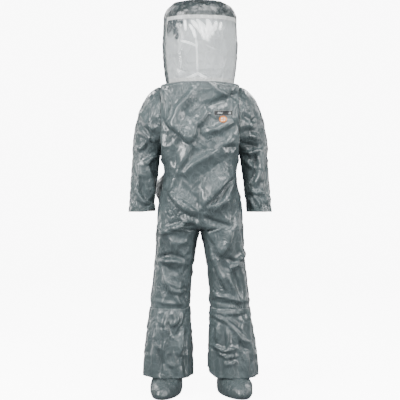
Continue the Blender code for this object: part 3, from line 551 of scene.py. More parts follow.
def crumple_group():
    """Creases pressed into film: flat facets between thin ridges, at two sizes, with smoother patches."""
    name = "Film Crumple"
    if name in bpy.data.node_groups:
        return bpy.data.node_groups[name]
    tree, start, end = new_group(
        name,
        (
            ("Vector", "NodeSocketVector", None),
            ("Scale", "NodeSocketFloat", 1.0),
            ("Facets", "NodeSocketFloat", 1.0),
            ("Fine", "NodeSocketFloat", 1.0),
            ("Grain", "NodeSocketFloat", 1.0),
        ),
        (("Height", "NodeSocketFloat"), ("Ridges", "NodeSocketFloat"), ("Patches", "NodeSocketFloat")),
    )
    place = node(tree, "ShaderNodeVectorMath", operation="SCALE")
    wire(tree, start.outputs["Vector"], place.inputs[0])
    wire(tree, start.outputs["Scale"], place.inputs[3])
    warp = node(tree, "ShaderNodeTexNoise", "warp")
    warp.inputs["Scale"].default_value = 7.0
    warp.inputs["Detail"].default_value = 2.0
    wire(tree, place.outputs[0], warp.inputs["Vector"])
    shift = node(tree, "ShaderNodeVectorMath", operation="MULTIPLY_ADD")
    wire(tree, warp.outputs["Color"], shift.inputs[0])
    shift.inputs[1].default_value = (0.10, 0.10, 0.10)
    wire(tree, place.outputs[0], shift.inputs[2])
    stretch = node(tree, "ShaderNodeMapping")
    stretch.inputs["Rotation"].default_value = (0.3, 0.75, 0.2)
    stretch.inputs["Scale"].default_value = (1.0, 1.0, 0.55)
    wire(tree, shift.outputs[0], stretch.inputs["Vector"])
    heights = []
    ridges = []
    for label, scale, low, high in (("facets", 13.0, 0.0, 0.30), ("fine", 38.0, 0.0, 0.26)):
        cells = node(tree, "ShaderNodeTexVoronoi", label, feature="DISTANCE_TO_EDGE")
        cells.inputs["Scale"].default_value = scale
        wire(tree, stretch.outputs[0], cells.inputs["Vector"])
        heights.append(remap(tree, cells.outputs["Distance"], low, high, 1.0, 0.0))
        ridges.append(remap(tree, cells.outputs["Distance"], 0.0, 0.035, 1.0, 0.0))
    patches = node(tree, "ShaderNodeTexNoise", "patches")
    patches.inputs["Scale"].default_value = 6.0
    patches.inputs["Detail"].default_value = 3.0
    wire(tree, place.outputs[0], patches.inputs["Vector"])
    mask = remap(tree, patches.outputs["Fac"], 0.44, 0.62, 0.0, 1.0)
    soft = node(tree, "ShaderNodeTexNoise", "rumple")
    soft.inputs["Scale"].default_value = 16.0
    soft.inputs["Detail"].default_value = 4.0
    soft.inputs["Roughness"].default_value = 0.45
    wire(tree, stretch.outputs[0], soft.inputs["Vector"])
    grain = node(tree, "ShaderNodeTexNoise", "grain")
    grain.inputs["Scale"].default_value = 420.0
    grain.inputs["Detail"].default_value = 2.0
    wire(tree, place.outputs[0], grain.inputs["Vector"])
    facets = maths(tree, "MULTIPLY", heights[0], start.outputs["Facets"])
    fine = maths(tree, "MULTIPLY", maths(tree, "MULTIPLY", heights[1], mask), start.outputs["Fine"])
    fine = maths(tree, "MULTIPLY", fine, 0.55)
    total = maths(tree, "ADD", facets, fine)
    total = maths(tree, "ADD", total, maths(tree, "MULTIPLY", soft.outputs["Fac"], start.outputs["Facets"]))
    small = maths(tree, "MULTIPLY", grain.outputs["Fac"], start.outputs["Grain"])
    total = maths(tree, "ADD", total, maths(tree, "MULTIPLY", small, 0.006))
    wire(tree, total, end.inputs["Height"])
    lines = maths(tree, "ADD", maths(tree, "MULTIPLY", ridges[1], mask), ridges[0], clamp=True)
    wire(tree, lines, end.inputs["Ridges"])
    wire(tree, mask, end.inputs["Patches"])
    return tree


def cloudy_group():
    """Slow changes of shade over a surface, from handling and uneven coating."""
    name = "Uneven Shade"
    if name in bpy.data.node_groups:
        return bpy.data.node_groups[name]
    tree, start, end = new_group(
        name,
        (("Vector", "NodeSocketVector", None), ("Scale", "NodeSocketFloat", 9.0)),
        (("Shade", "NodeSocketFloat"), ("Specks", "NodeSocketFloat")),
    )
    cloud = node(tree, "ShaderNodeTexNoise")
    cloud.inputs["Detail"].default_value = 5.0
    cloud.inputs["Roughness"].default_value = 0.62
    wire(tree, start.outputs["Vector"], cloud.inputs["Vector"])
    wire(tree, start.outputs["Scale"], cloud.inputs["Scale"])
    wire(tree, remap(tree, cloud.outputs["Fac"], 0.32, 0.68, 0.0, 1.0), end.inputs["Shade"])
    speck = node(tree, "ShaderNodeTexNoise")
    speck.inputs["Scale"].default_value = 240.0
    wire(tree, start.outputs["Vector"], speck.inputs["Vector"])
    wire(tree, remap(tree, speck.outputs["Fac"], 0.62, 0.75, 0.0, 1.0), end.inputs["Specks"])
    return tree


def weave_group():
    """Crossed threads, as in webbing, zip tape and knitted elastic."""
    name = "Plain Weave"
    if name in bpy.data.node_groups:
        return bpy.data.node_groups[name]
    tree, start, end = new_group(
        name,
        (("Vector", "NodeSocketVector", None), ("Threads", "NodeSocketFloat", 900.0)),
        (("Height", "NodeSocketFloat"), ("Gaps", "NodeSocketFloat")),
    )
    place = node(tree, "ShaderNodeVectorMath", operation="SCALE")
    wire(tree, start.outputs["Vector"], place.inputs[0])
    wire(tree, start.outputs["Threads"], place.inputs[3])
    parts = node(tree, "ShaderNodeSeparateXYZ")
    wire(tree, place.outputs[0], parts.inputs[0])
    across = maths(tree, "ABSOLUTE", maths(tree, "SINE", parts.outputs[0]))
    up = maths(tree, "ABSOLUTE", maths(tree, "SINE", parts.outputs[2]))
    height = maths(tree, "MULTIPLY", across, up)
    wire(tree, height, end.inputs["Height"])
    wire(tree, remap(tree, height, 0.0, 0.35, 1.0, 0.0), end.inputs["Gaps"])
    return tree


def place_group(tree, group, vector, **values):
    made = node(tree, "ShaderNodeGroup")
    made.node_tree = group
    wire(tree, vector, made.inputs["Vector"])
    for key, value in values.items():
        made.inputs[key].default_value = value
    return made


def new_material(name, roughness=0.5, metallic=0.0, coat=0.0):
    made = bpy.data.materials.new(SURFACE_PREFIX + name)
    made.use_nodes = True
    tree = made.node_tree
    shader = tree.nodes["Principled BSDF"]
    shader.inputs["Roughness"].default_value = roughness
    shader.inputs["Metallic"].default_value = metallic
    shader.inputs["Coat Weight"].default_value = coat
    return made, tree, shader


def point_value(tree, name):
    """An attribute that a piece carries on its points."""
    return node(tree, "ShaderNodeAttribute", attribute_type="GEOMETRY", attribute_name=name)


def rest_place(tree):
    """Where the surface lay before it creased, which goes with the fabric as it moves."""
    return point_value(tree, "rest").outputs["Vector"]


def object_place(tree):
    return node(tree, "ShaderNodeTexCoord").outputs["Object"]


def bump(tree, shader, height, distance, strength=1.0):
    made = node(tree, "ShaderNodeBump")
    made.inputs["Strength"].default_value = strength
    made.inputs["Distance"].default_value = distance
    wire(tree, height, made.inputs["Height"])
    wire(tree, made.outputs["Normal"], shader.inputs["Normal"])


def coated_fabric(name, settings, facets=0.5, fine=1.2, distance=0.0024, scale=1.8, depth=0.94, on_cad=False):
    """Film-coated fabric: glossy and crumpled outside, pale and matt inside."""
    made, tree, shader = new_material(name, settings.gloss)
    place = object_place(tree) if on_cad else rest_place(tree)
    crumple = place_group(tree, crumple_group(), place, Scale=scale, Facets=facets, Fine=fine, Grain=1.0)
    cloud = place_group(tree, cloudy_group(), place, Scale=7.0)
    base = tuple(c * depth for c in settings.colour)
    dark = tuple(c * 0.80 for c in base)
    light = tuple(min(1.0, c * 1.22) for c in base)
    colour = blend_colour(tree, cloud.outputs["Shade"], dark, light)
    # paler along the crease ridges: partly the coating whitened in its creases, partly a painted highlight on
    # the crease edges
    pale = tuple(min(1.0, c * 2.2 + 0.08) for c in base)
    ridge = maths(tree, "MULTIPLY", crumple.outputs["Ridges"], 0.20)
    colour = blend_colour(tree, ridge, colour, pale)
    inside = node(tree, "ShaderNodeNewGeometry").outputs["Backfacing"]
    colour = blend_colour(tree, inside, colour, tuple(settings.lining))
    wire(tree, colour, shader.inputs["Base Color"])
    rough = remap(tree, cloud.outputs["Shade"], 0.0, 1.0, settings.gloss - 0.06, settings.gloss + 0.08)
    rough = maths(tree, "ADD", rough, maths(tree, "MULTIPLY", inside, 0.4), clamp=True)
    wire(tree, rough, shader.inputs["Roughness"])
    shader.inputs["Specular IOR Level"].default_value = 0.62
    shader.inputs["Coat Weight"].default_value = 0.40
    shader.inputs["Coat Roughness"].default_value = 0.12
    bump(tree, shader, crumple.outputs["Height"], distance)
    return made


def lining_fabric(name, settings):
    """The uncoated inner face: pale, soft, with the creases of the outer film showing through."""
    made, tree, shader = new_material(name, 0.72)
    place = rest_place(tree)
    crumple = place_group(tree, crumple_group(), place, Scale=1.0, Facets=0.8, Fine=0.8, Grain=2.0)
    cloud = place_group(tree, cloudy_group(), place, Scale=8.0)
    base = tuple(settings.lining)
    colour = blend_colour(tree, cloud.outputs["Shade"], tuple(c * 0.88 for c in base), base)
    wire(tree, colour, shader.inputs["Base Color"])
    wire(tree, remap(tree, cloud.outputs["Shade"], 0.0, 1.0, 0.62, 0.8), shader.inputs["Roughness"])
    bump(tree, shader, crumple.outputs["Height"], 0.0035)
    return made


def visor_film(name, settings):
    """Flexible clear film: hazy and creased, with a painted glare of the lamps where its top is crumpled, a
    painted shade under the brow, and a painted glow for the light from behind.
    """
    made, tree, shader = new_material(name, 0.16, coat=0.4)
    place = rest_place(tree)
    crumple = place_group(tree, crumple_group(), place, Scale=2.2, Facets=0.5, Fine=1.0, Grain=0.2)
    cloud = place_group(tree, cloudy_group(), place, Scale=9.0)
    tint = tuple(settings.tint)
    # creased holds the film's painted marks: a painted glare above 0 and a painted shade below 0
    creased = point_value(tree, "creased").outputs["Fac"]
    broken = remap(tree, cloud.outputs["Shade"], 0.25, 0.75, 0.55, 1.0)
    shaded = maths(tree, "MULTIPLY", maths(tree, "MULTIPLY", creased, -1.0, clamp=True), broken)
    creased = maths(tree, "MULTIPLY", creased, broken, clamp=True)
    # painted glare: the colour goes near white where the creased attribute is above 0
    colour = blend_colour(tree, creased, tint, (0.95, 0.95, 0.94))
    # painted shade: the colour goes dark where the creased attribute is below 0
    colour = blend_colour(tree, maths(tree, "MULTIPLY", shaded, 2.2, clamp=True), colour, (0.07, 0.085, 0.09))
    wire(tree, colour, shader.inputs["Base Color"])
    # the emission is a painted glow: a dim tint for the light from behind the film, white at the painted
    # glare, none at the painted shade
    through = blend_colour(tree, creased, tuple(c * 0.17 for c in tint), (1.0, 1.0, 1.0))
    through = blend_colour(tree, maths(tree, "MULTIPLY", shaded, 2.0, clamp=True), through, (0.0, 0.0, 0.0))
    wire(tree, through, shader.inputs["Emission Color"])
    shader.inputs["Emission Strength"].default_value = settings.through
    veil = maths(tree, "MULTIPLY", crumple.outputs["Ridges"], crumple.outputs["Patches"])
    veil = maths(tree, "MULTIPLY", veil, 0.08)
    veil = maths(tree, "ADD", veil, maths(tree, "MULTIPLY", cloud.outputs["Shade"], 0.12))
    # the painted glare and painted shade also make the film less clear where they lie
    veil = maths(tree, "ADD", veil, maths(tree, "ADD", creased, shaded))
    alpha = maths(tree, "ADD", veil, settings.haze, clamp=True)
    wire(tree, alpha, shader.inputs["Alpha"])
    wire(tree, remap(tree, cloud.outputs["Shade"], 0.0, 1.0, 0.10, 0.24), shader.inputs["Roughness"])
    bump(tree, shader, crumple.outputs["Height"], 0.0040)
    return made


def seam_tape(name, settings, on_cad=False):
    """Heat-sealed tape: pale, satin, with the press marks of the sealing roller."""
    made, tree, shader = new_material(name, 0.38)
    place = object_place(tree) if on_cad else rest_place(tree)
    crumple = place_group(tree, crumple_group(), place, Scale=1.6, Facets=0.6, Fine=0.8, Grain=1.0)
    cloud = place_group(tree, cloudy_group(), place, Scale=22.0)
    base = tuple(settings.tape)
    colour = blend_colour(tree, cloud.outputs["Shade"], tuple(c * 0.80 for c in base), base)
    ridge = maths(tree, "MULTIPLY", crumple.outputs["Ridges"], 0.5)
    colour = blend_colour(tree, ridge, colour, (0.85, 0.86, 0.86))
    wire(tree, colour, shader.inputs["Base Color"])
    wire(tree, remap(tree, cloud.outputs["Shade"], 0.0, 1.0, 0.30, 0.48), shader.inputs["Roughness"])
    bump(tree, shader, crumple.outputs["Height"], 0.0022)
    return made


def woven(name, colour, threads, roughness=0.85, fuzz=0.0):
    """Textile parts: zip tape, webbing, elastic and hook and loop strips."""
    made, tree, shader = new_material(name, roughness)
    place = object_place(tree)
    weave = place_group(tree, weave_group(), place, Threads=threads)
    cloud = place_group(tree, cloudy_group(), place, Scale=30.0)
    dark = tuple(c * 0.55 for c in colour)
    shade = blend_colour(tree, weave.outputs["Gaps"], colour, dark)
    shade = blend_colour(tree, maths(tree, "MULTIPLY", cloud.outputs["Shade"], 0.3), shade, dark)
    wire(tree, shade, shader.inputs["Base Color"])
    rough = remap(tree, weave.outputs["Height"], 0.0, 1.0, roughness + 0.1, roughness)
    wire(tree, rough, shader.inputs["Roughness"])
    shader.inputs["Sheen Weight"].default_value = fuzz
    bump(tree, shader, weave.outputs["Height"], 0.0006)
    return made


def moulded(name, colour, roughness, wear=0.3):
    """Moulded plastic or rubber with a fine grain, paler where it is handled."""
    made, tree, shader = new_material(name, roughness)
    place = object_place(tree)
    cloud = place_group(tree, cloudy_group(), place, Scale=40.0)
    pale = tuple(min(1.0, c * 1.6 + 0.03) for c in colour)
    shade = blend_colour(tree, maths(tree, "MULTIPLY", cloud.outputs["Shade"], wear), colour, pale)
    wire(tree, shade, shader.inputs["Base Color"])
    rough = remap(tree, cloud.outputs["Shade"], 0.0, 1.0, roughness - 0.08, roughness + 0.1)
    wire(tree, rough, shader.inputs["Roughness"])
    bump(tree, shader, cloud.outputs["Specks"], 0.0002)
    return made


def from_middle(tree, place, middle):
    """How far a point is from a middle, across and up, without sign."""
    parts = node(tree, "ShaderNodeSeparateXYZ")
    wire(tree, place, parts.inputs[0])
    across = maths(tree, "ABSOLUTE", maths(tree, "SUBTRACT", parts.outputs[0], middle[0]))
    up = maths(tree, "ABSOLUTE", maths(tree, "SUBTRACT", parts.outputs[2], middle[1]))
    return across, up


def finish_print(tree, shader, place, colour):
    """A little dirt, uneven gloss and the film's creases, over a print's colour."""
    cloud = place_group(tree, cloudy_group(), place, Scale=60.0)
    dirt = maths(tree, "MULTIPLY", cloud.outputs["Specks"], 0.2)
    colour = blend_colour(tree, dirt, colour, (0.4, 0.4, 0.4))
    wire(tree, colour, shader.inputs["Base Color"])
    wire(tree, remap(tree, cloud.outputs["Shade"], 0.0, 1.0, 0.34, 0.5), shader.inputs["Roughness"])
    crumple = place_group(tree, crumple_group(), place, Scale=1.0, Facets=0.5, Fine=0.5, Grain=1.0)
    bump(tree, shader, crumple.outputs["Height"], 0.0016)


def banner_print(name):
    """A dark label with a pale hairline round it and a broken pale bar that stands in for its wording."""
    made, tree, shader = new_material(name, 0.42)
    place = rest_place(tree)
    across, up = from_middle(tree, place, LABEL_MIDDLE)
    side = maths(tree, "SUBTRACT", LABEL_HALF[0], across)
    top = maths(tree, "SUBTRACT", LABEL_HALF[1], up)
    edge = remap(tree, maths(tree, "MINIMUM", side, top), 0.0006, 0.0012, 1.0, 0.0)
    cloud = place_group(tree, cloudy_group(), place, Scale=26.0)
    bar = remap(tree, up, 0.0040, 0.0052, 1.0, 0.0)
    bar = maths(tree, "MULTIPLY", bar, remap(tree, side, 0.0070, 0.0085, 0.0, 1.0))
    bar = maths(tree, "MULTIPLY", bar, remap(tree, cloud.outputs["Shade"], 0.42, 0.52, 0.0, 0.85))
    colour = blend_colour(tree, bar, (0.014, 0.016, 0.017), (0.46, 0.49, 0.50))
    colour = blend_colour(tree, maths(tree, "MULTIPLY", edge, 0.7), colour, (0.40, 0.42, 0.41))
    finish_print(tree, shader, place, colour)
    return made


def badge_print(name):
    """A pale tag with a broad orange ring and cross, inside a dark outline."""
    made, tree, shader = new_material(name, 0.42)
    place = rest_place(tree)
    across, up = from_middle(tree, place, TAG_MIDDLE)
    across = maths(tree, "DIVIDE", across, TAG_HALF[0])
    up = maths(tree, "DIVIDE", up, TAG_HALF[1])
    square = maths(tree, "ADD", maths(tree, "MULTIPLY", across, across), maths(tree, "MULTIPLY", up, up))
    radius = maths(tree, "SQRT", square)
    ring = remap(tree, radius, 0.52, 0.58, 0.0, 1.0)
    cross = remap(tree, maths(tree, "MINIMUM", across, up), 0.11, 0.15, 1.0, 0.0)
    colour = blend_colour(tree, maths(tree, "MAXIMUM", ring, cross), (0.80, 0.82, 0.84), (0.66, 0.21, 0.04))
    outline = remap(tree, radius, 0.90, 0.94, 0.0, 1.0)
    colour = blend_colour(tree, outline, colour, (0.05, 0.05, 0.04))
    finish_print(tree, shader, place, colour)
    return made


# ---------------------------------------------------------------- outlines


def table_row(table, height):
    """The table's numbers at a height, read straight between its rows."""
    rows = np.array(sorted(table))
    return [float(np.interp(height, rows[:, 0], rows[:, k])) for k in range(1, rows.shape[1])]


def rounded(angles, middle, half, front, back, squareness):
    """Points of a rounded-square outline. Angle 0 is +X, and a quarter turn is the back."""
    power = 2.0 / squareness
    c, s = np.cos(angles), np.sin(angles)
    x = middle + half * np.sign(c) * np.abs(c) ** power
    y = np.where(s > 0, back, front) * np.sign(s) * np.abs(s) ** power
    return x, y


def evenly(x, y, count, closed=False):
    """The same outline with its points the same distance apart."""
    if closed:
        x, y = np.append(x, x[0]), np.append(y, y[0])
    run = np.concatenate([[0.0], np.cumsum(np.hypot(np.diff(x), np.diff(y)))])
    at = np.linspace(0.0, run[-1], count + 1)
    if closed:
        at = at[:-1]
    return np.interp(at, run, x), np.interp(at, run, y), at


def back_plane(height):
    t = (BACK_START - height) / (BACK_START - ZIP_LOW)
    return BACK_TOP + (BACK_LOW - BACK_TOP) * t


def half_outline(height, count):
    """Half of the suit at a height, from the front's middle, round the outside, to the back's."""
    on_body = height >= WAIST_END - 1e-6
    middle = 0.0
    if on_body:
        half, front, back, squareness = table_row(BODY, height)
    else:
        middle, half, front, back, squareness = table_row(LEG, height)
    share = min(1.0, middle / half)
    end = math.pi - math.acos(share ** (squareness / 2))
    x, y = rounded(np.linspace(-end, end, 1441), middle, half, front, back, squareness)
    x = np.maximum(x, 0.0)
    if height > 1.12:
        x = np.minimum(x, SHOULDER_PLANE)
    if on_body:
        y = np.minimum(y, back_plane(height))
    x, y, run = evenly(x, y, count)
    if height > CROTCH:
        x[0] = x[-1] = 0.0
        if ZIP_LOW - 0.008 < height < ZIP_TOP + 0.008:
            x[-1] = ZIP_GAP
    else:
        x[-1], y[-1] = x[0], y[0]
    return x, y, run


def ring_outline(table, height, count, out=0.0):
    """A whole level outline of the hood, of a leg or of a boot flap, with its points evenly spaced."""
    row = table_row(table, height)
    middle = row[0] if len(row) == 5 else 0.0
    half, front, back, squareness = row[-4:]
    angles = np.linspace(0.0, 2 * math.pi, 1441)[:-1]
    x, y = rounded(angles, middle, half + out, front + out, back + out, squareness)
    return evenly(x, y, count, closed=True)


def sleeve_section(level, on_shoulder, count):
    """One ring of the left sleeve: on the shoulder by a turn about the armpit, and below by a height."""
    armpit_top = ARMHOLE_HEIGHT - ARMHOLE_RADIUS
    if on_shoulder:
        share = level / (math.pi / 2)
        rise = ARMHOLE_HEIGHT + ARMHOLE_RADIUS - SLEEVE_TURN
        across = SLEEVE_START + SLEEVE_REACH * math.sin(level)
        outer = np.array((across, 0.0, SLEEVE_TURN + rise * math.cos(level)))
        low = armpit_top + (SLEEVE_TURN - armpit_top) * share
        inner = np.array((SLEEVE_START + SLEEVE_INSET * share, 0.0, low))
        depth = ARMHOLE_RADIUS + (SLEEVE_DEPTH - ARMHOLE_RADIUS) * math.sin(level) ** 1.3
    else:
        t = (SLEEVE_TURN - level) / (SLEEVE_TURN - CUFF_BOTTOM)
        outer = np.array((SLEEVE_START + SLEEVE_REACH + 0.019 * t, 0.0, level))
        inner = np.array((SLEEVE_START + SLEEVE_INSET + 0.036 * t, 0.0, level))
        depth = SLEEVE_DEPTH - 0.013 * t
    middle, half = (outer + inner) / 2, np.linalg.norm(outer - inner) / 2
    across = (outer - inner) / (2 * half)
    a = np.linspace(0.0, 2 * math.pi, count + 1)[:-1]
    return middle + np.outer(half * np.cos(a), across) + np.outer(depth * np.sin(a), (0.0, 1.0, 0.0))


# ---------------------------------------------------------------- fabric shells


class Fabric:
    """A fabric surface being shaped: its points, its faces, and a value at each point under each name."""

    def __init__(self, points, faces, **at_points):
        self.points = np.asarray(points, float)
        self.faces = np.asarray(faces, int)
        self.at = {"rest": self.points.copy()}
        self.at.update({key: np.asarray(value, float) for key, value in at_points.items()})

    def mesh(self, name):
        made = bpy.data.meshes.new(name)
        made.from_pydata(self.points.tolist(), [], self.faces.tolist())
        for key, value in self.at.items():
            flat = value.ndim == 1
            attribute = made.attributes.new(key, "FLOAT" if flat else "FLOAT_VECTOR", "POINT")
            attribute.data.foreach_set("value" if flat else "vector", value.astype(np.float32).ravel())
        return made

    def normals(self):
        """Unit normals of the points, the faces weighted by area."""
        corners = self.points[self.faces]
        cross = np.cross(corners[:, 2] - corners[:, 0], corners[:, 3] - corners[:, 1])
        total = np.zeros_like(self.points)
        for k in range(4):
            np.add.at(total, self.faces[:, k], cross)
        length = np.linalg.norm(total, axis=1, keepdims=True)
        return total / np.maximum(length, 1e-12)

    def finer(self):
        """The fabric with each face cut in four and smoothed."""
        obj = linked("finer", self.mesh("finer"))
        smooth = obj.modifiers.new("smooth", "SUBSURF")
        smooth.levels = smooth.render_levels = 1
        smooth.boundary_smooth = "PRESERVE_CORNERS"
        graph = bpy.context.evaluated_depsgraph_get()
        made = obj.evaluated_get(graph).to_mesh()
        points = np.empty(len(made.vertices) * 3, np.float32)
        made.vertices.foreach_get("co", points)
        corners = np.empty(len(made.loops), np.int32)
        made.loops.foreach_get("vertex_index", corners)
        values = {}
        for key, value in self.at.items():
            flat = value.ndim == 1
            got = np.empty(len(made.vertices) * (1 if flat else 3), np.float32)
            made.attributes[key].data.foreach_get("value" if flat else "vector", got)
            values[key] = got if flat else got.reshape(-1, 3)
        fabric = Fabric(points.reshape(-1, 3), corners.reshape(-1, 4), **values)
        obj.evaluated_get(graph).to_mesh_clear()
        bpy.data.objects.remove(obj)
        return fabric

    def push(self, amount):
        self.points = self.points + self.normals() * np.asarray(amount, float)[:, None]


def grid_faces(rows, columns, closed, flipped=False):
    """Faces of a grid whose points run along each row in turn."""
    r, c = np.meshgrid(np.arange(rows - 1), np.arange(columns if closed else columns - 1), indexing="ij")
    right = (c + 1) % columns
    here, below = r * columns, (r + 1) * columns
    faces = np.stack([here + c, below + c, below + right, here + right], -1)
    faces = faces.reshape(-1, 4)
    return faces[:, ::-1] if flipped else faces


def welded(points, faces, values):
    """One point where several lie together. Faces that lose a corner to it go."""
    keys = np.round(points * 1e5).astype(np.int64)
    _, first, index = np.unique(keys, axis=0, return_index=True, return_inverse=True)
    index = index.reshape(-1)
    faces = index[faces]
    order = np.sort(faces, axis=1)
    whole = (np.diff(order, axis=1) > 0).all(axis=1)
    return points[first], faces[whole], {key: value[first] for key, value in values.items()}


def settle(fabric, held, slack, settings, gravity=0.25, pressure=0.0, stiffness=0.6, reach=None):
    """Wrinkles the fabric by cloth simulation, within reach. held is 1 where the fabric is sewn down."""
    if slack <= 0:
        return
    obj = linked("settling", fabric.mesh("settling"))
    group = obj.vertex_groups.new(name="held")
    levels = np.round(np.clip(held, 0.0, 1.0) * 20) / 20
    for level in np.unique(levels):
        if level > 0:
            group.add(np.nonzero(levels == level)[0].tolist(), float(level), "REPLACE")
    cloth = obj.modifiers.new("cloth", "CLOTH")
    cloth.settings.quality = 4
    cloth.settings.mass = 0.12
    cloth.settings.air_damping = 4.0
    cloth.settings.tension_stiffness = 18.0
    cloth.settings.compression_stiffness = 18.0
    cloth.settings.shear_stiffness = 9.0
    cloth.settings.bending_stiffness = stiffness
    cloth.settings.shrink_min = -slack
    cloth.settings.vertex_group_mass = "held"
    cloth.settings.pin_stiffness = 1.0
    cloth.settings.effector_weights.gravity = gravity
    cloth.settings.use_pressure = pressure > 0
    cloth.settings.uniform_pressure_force = pressure
    cloth.collision_settings.use_collision = False
    cloth.collision_settings.use_self_collision = False
    cloth.point_cache.frame_start = 1
    cloth.point_cache.frame_end = settings.frames
    scene = bpy.context.scene
    for step in range(1, settings.frames + 1):
        scene.frame_set(step)
    graph = bpy.context.evaluated_depsgraph_get()
    made = obj.evaluated_get(graph).to_mesh()
    moved = np.empty(len(made.vertices) * 3, np.float32)
    made.vertices.foreach_get("co", moved)
    obj.evaluated_get(graph).to_mesh_clear()
    bpy.data.objects.remove(obj)
    scene.frame_set(1)
    step = moved.reshape(-1, 3) - fabric.points
    most = settings.reach if reach is None else reach
    length = np.linalg.norm(step, axis=1, keepdims=True)
    step *= np.where(length > 1e-9, most * np.tanh(length / most) / np.maximum(length, 1e-9), 0.0)
    fabric.points = fabric.points + step


def fold_rise(x, up, folds, depth=1.0):
    """How far each fold lifts the fabric, for points seen from the front at x and a height."""
    total = np.zeros(len(x))
    place = np.stack([x, up], 1)
    for line, rise, near, far in folds:
        best = np.full(len(x), np.inf)
        side = np.zeros(len(x))
        along = np.zeros(len(x))
        line = np.array(line, float)
        lengths = np.linalg.norm(np.diff(line, axis=0), axis=1)
        whole = lengths.sum()
        done = 0.0
        for start, end, length in zip(line, line[1:], lengths):
            way = (end - start) / length
            t = np.clip((place - start) @ way, 0.0, length)
            gap = place - (start + np.outer(t, way))
            distance = np.linalg.norm(gap, axis=1)
            turn = way[0] * gap[:, 1] - way[1] * gap[:, 0]
            closer = distance < best
            best = np.where(closer, distance, best)
            side = np.where(closer, turn, side)
            along = np.where(closer, (done + t) / whole, along)
            done += length
        leftward = way_is_down(line)
        run = np.where(side * leftward > 0, near, far)
        fade = np.clip(1.0 - np.abs(2 * along - 1) ** 3 * 0.8, 0.0, 1.0)
        tent = np.clip(1.0 - best / run, 0.0, 1.0)
        total += rise * depth * fade * tent * (0.45 + 0.55 * tent)
    return total


def stroked(x, up, strokes):
    """From 0 to 1, how close points seen from the front are to any of the strokes."""
    total = np.zeros(len(x))
    for line, width, strength in strokes:
        rise = fold_rise(x, up, ((line, 1.0, width, width),))
        total = np.maximum(total, ramp(rise, 0.05, 0.55) * strength)
    return total


def way_is_down(line):
    """1 if the line's left side is the side towards +X or upwards, and -1 if it is the other."""
    way = line[-1] - line[0]
    left = np.array((-way[1], way[0]))
    return 1.0 if left[0] + left[1] > 0 else -1.0


def scattered(u, v, seed, count, length, width, rise, lean, spread):
    """Short creases laid at random over the fabric, from a fixed seed."""
    chance = np.random.RandomState(seed)
    total = np.zeros(len(u))
    low, high = np.array((u.min(), v.min())), np.array((u.max(), v.max()))
    for _ in range(count):
        centre = low + chance.rand(2) * (high - low)
        angle = math.radians(lean + spread * (2 * chance.rand() - 1))
        half = length * (0.5 + chance.rand()) / 2
        broad = width * (0.6 + 0.9 * chance.rand())
        steep = broad * (0.35 + 0.4 * chance.rand())
        bend = (chance.rand() - 0.5) * 3.0
        height = rise * (0.35 + 0.65 * chance.rand()) * (1.0 if chance.rand() < 0.68 else -0.8)
        along = (u - centre[0]) * math.cos(angle) + (v - centre[1]) * math.sin(angle)
        across = (v - centre[1]) * math.cos(angle) - (u - centre[0]) * math.sin(angle)
        across = across + bend * along**2
        fade = np.clip(1.0 - (along / half) ** 2, 0.0, 1.0)
        tent = np.clip(1.0 - np.abs(across) / np.where(across > 0, broad, steep), 0.0, 1.0)
        total += fade * tent * (0.5 + 0.5 * tent) * height
    return total


def ramp(value, low, high):
    t = np.clip((value - low) / (high - low), 0.0, 1.0)
    return t * t * (3 - 2 * t)


# ---------------------------------------------------------------- pieces


def linked(name, data):
    """A new object of the scene, with this mesh, lamp or camera."""
    obj = bpy.data.objects.new(name, data)
    bpy.context.scene.collection.objects.link(obj)
    return obj


def keep_rest(mesh, places):
    """Stores where the mesh's points lay before it creased, counted from the soles."""
    attribute = mesh.attributes.new("rest", "FLOAT_VECTOR", "POINT")
    attribute.data.foreach_set("vector", places.astype(np.float32).ravel())


def in_frame(points):
    """Points that are counted from the soles, where the frame has them."""
    return points + np.array((0.0, 0.0, SOLES))


def cut_piece(name, fabric, keep, surface, out=0.0, normals=None, creased=None):
    """A piece of the fabric as an object, with the whole fabric's normals, which hide its cut edges."""
    faces = fabric.faces[keep]
    used, index = np.unique(faces, return_inverse=True)
    normals = fabric.normals() if normals is None else normals
    points = in_frame(fabric.points[used] + normals[used] * out)
    mesh = bpy.data.meshes.new(name)
    mesh.from_pydata(points.tolist(), [], index.reshape(-1, 4).tolist())
    keep_rest(mesh, fabric.at["rest"][used])
    # creased carries the visor film's painted glare above 0 and painted shade below 0
    if creased is not None:
        attribute = mesh.attributes.new("creased", "FLOAT", "POINT")
        attribute.data.foreach_set("value", creased[used].astype(np.float32))
    mesh.shade_smooth()
    mesh.normals_split_custom_set_from_vertices(normals[used].tolist())
    mesh.materials.append(surface)
    return linked(name, mesh)


def walled_piece(name, fabric, keep, outside, inside, wall, out=0.0):
    """A piece with a real wall, for fabric whose edge or inner face is seen."""
    faces = fabric.faces[keep]
    used, index = np.unique(faces, return_inverse=True)
    points = in_frame(fabric.points[used] + fabric.normals()[used] * out)
    mesh = bpy.data.meshes.new(name)
    mesh.from_pydata(points.tolist(), [], index.reshape(-1, 4).tolist())
    keep_rest(mesh, fabric.at["rest"][used])
    mesh.shade_smooth()
    mesh.materials.append(outside)
    mesh.materials.append(inside)
    obj = linked(name, mesh)
    solid = obj.modifiers.new("wall", "SOLIDIFY")
    solid.thickness = wall
    solid.offset = -1.0
    solid.material_offset = 1
    solid.material_offset_rim = 0
    return baked(obj)


def baked(obj):
    """The object with its modifiers applied."""
    graph = bpy.context.evaluated_depsgraph_get()
    mesh = bpy.data.meshes.new_from_object(obj.evaluated_get(graph))
    obj.modifiers.clear()
    obj.data = mesh
    return obj


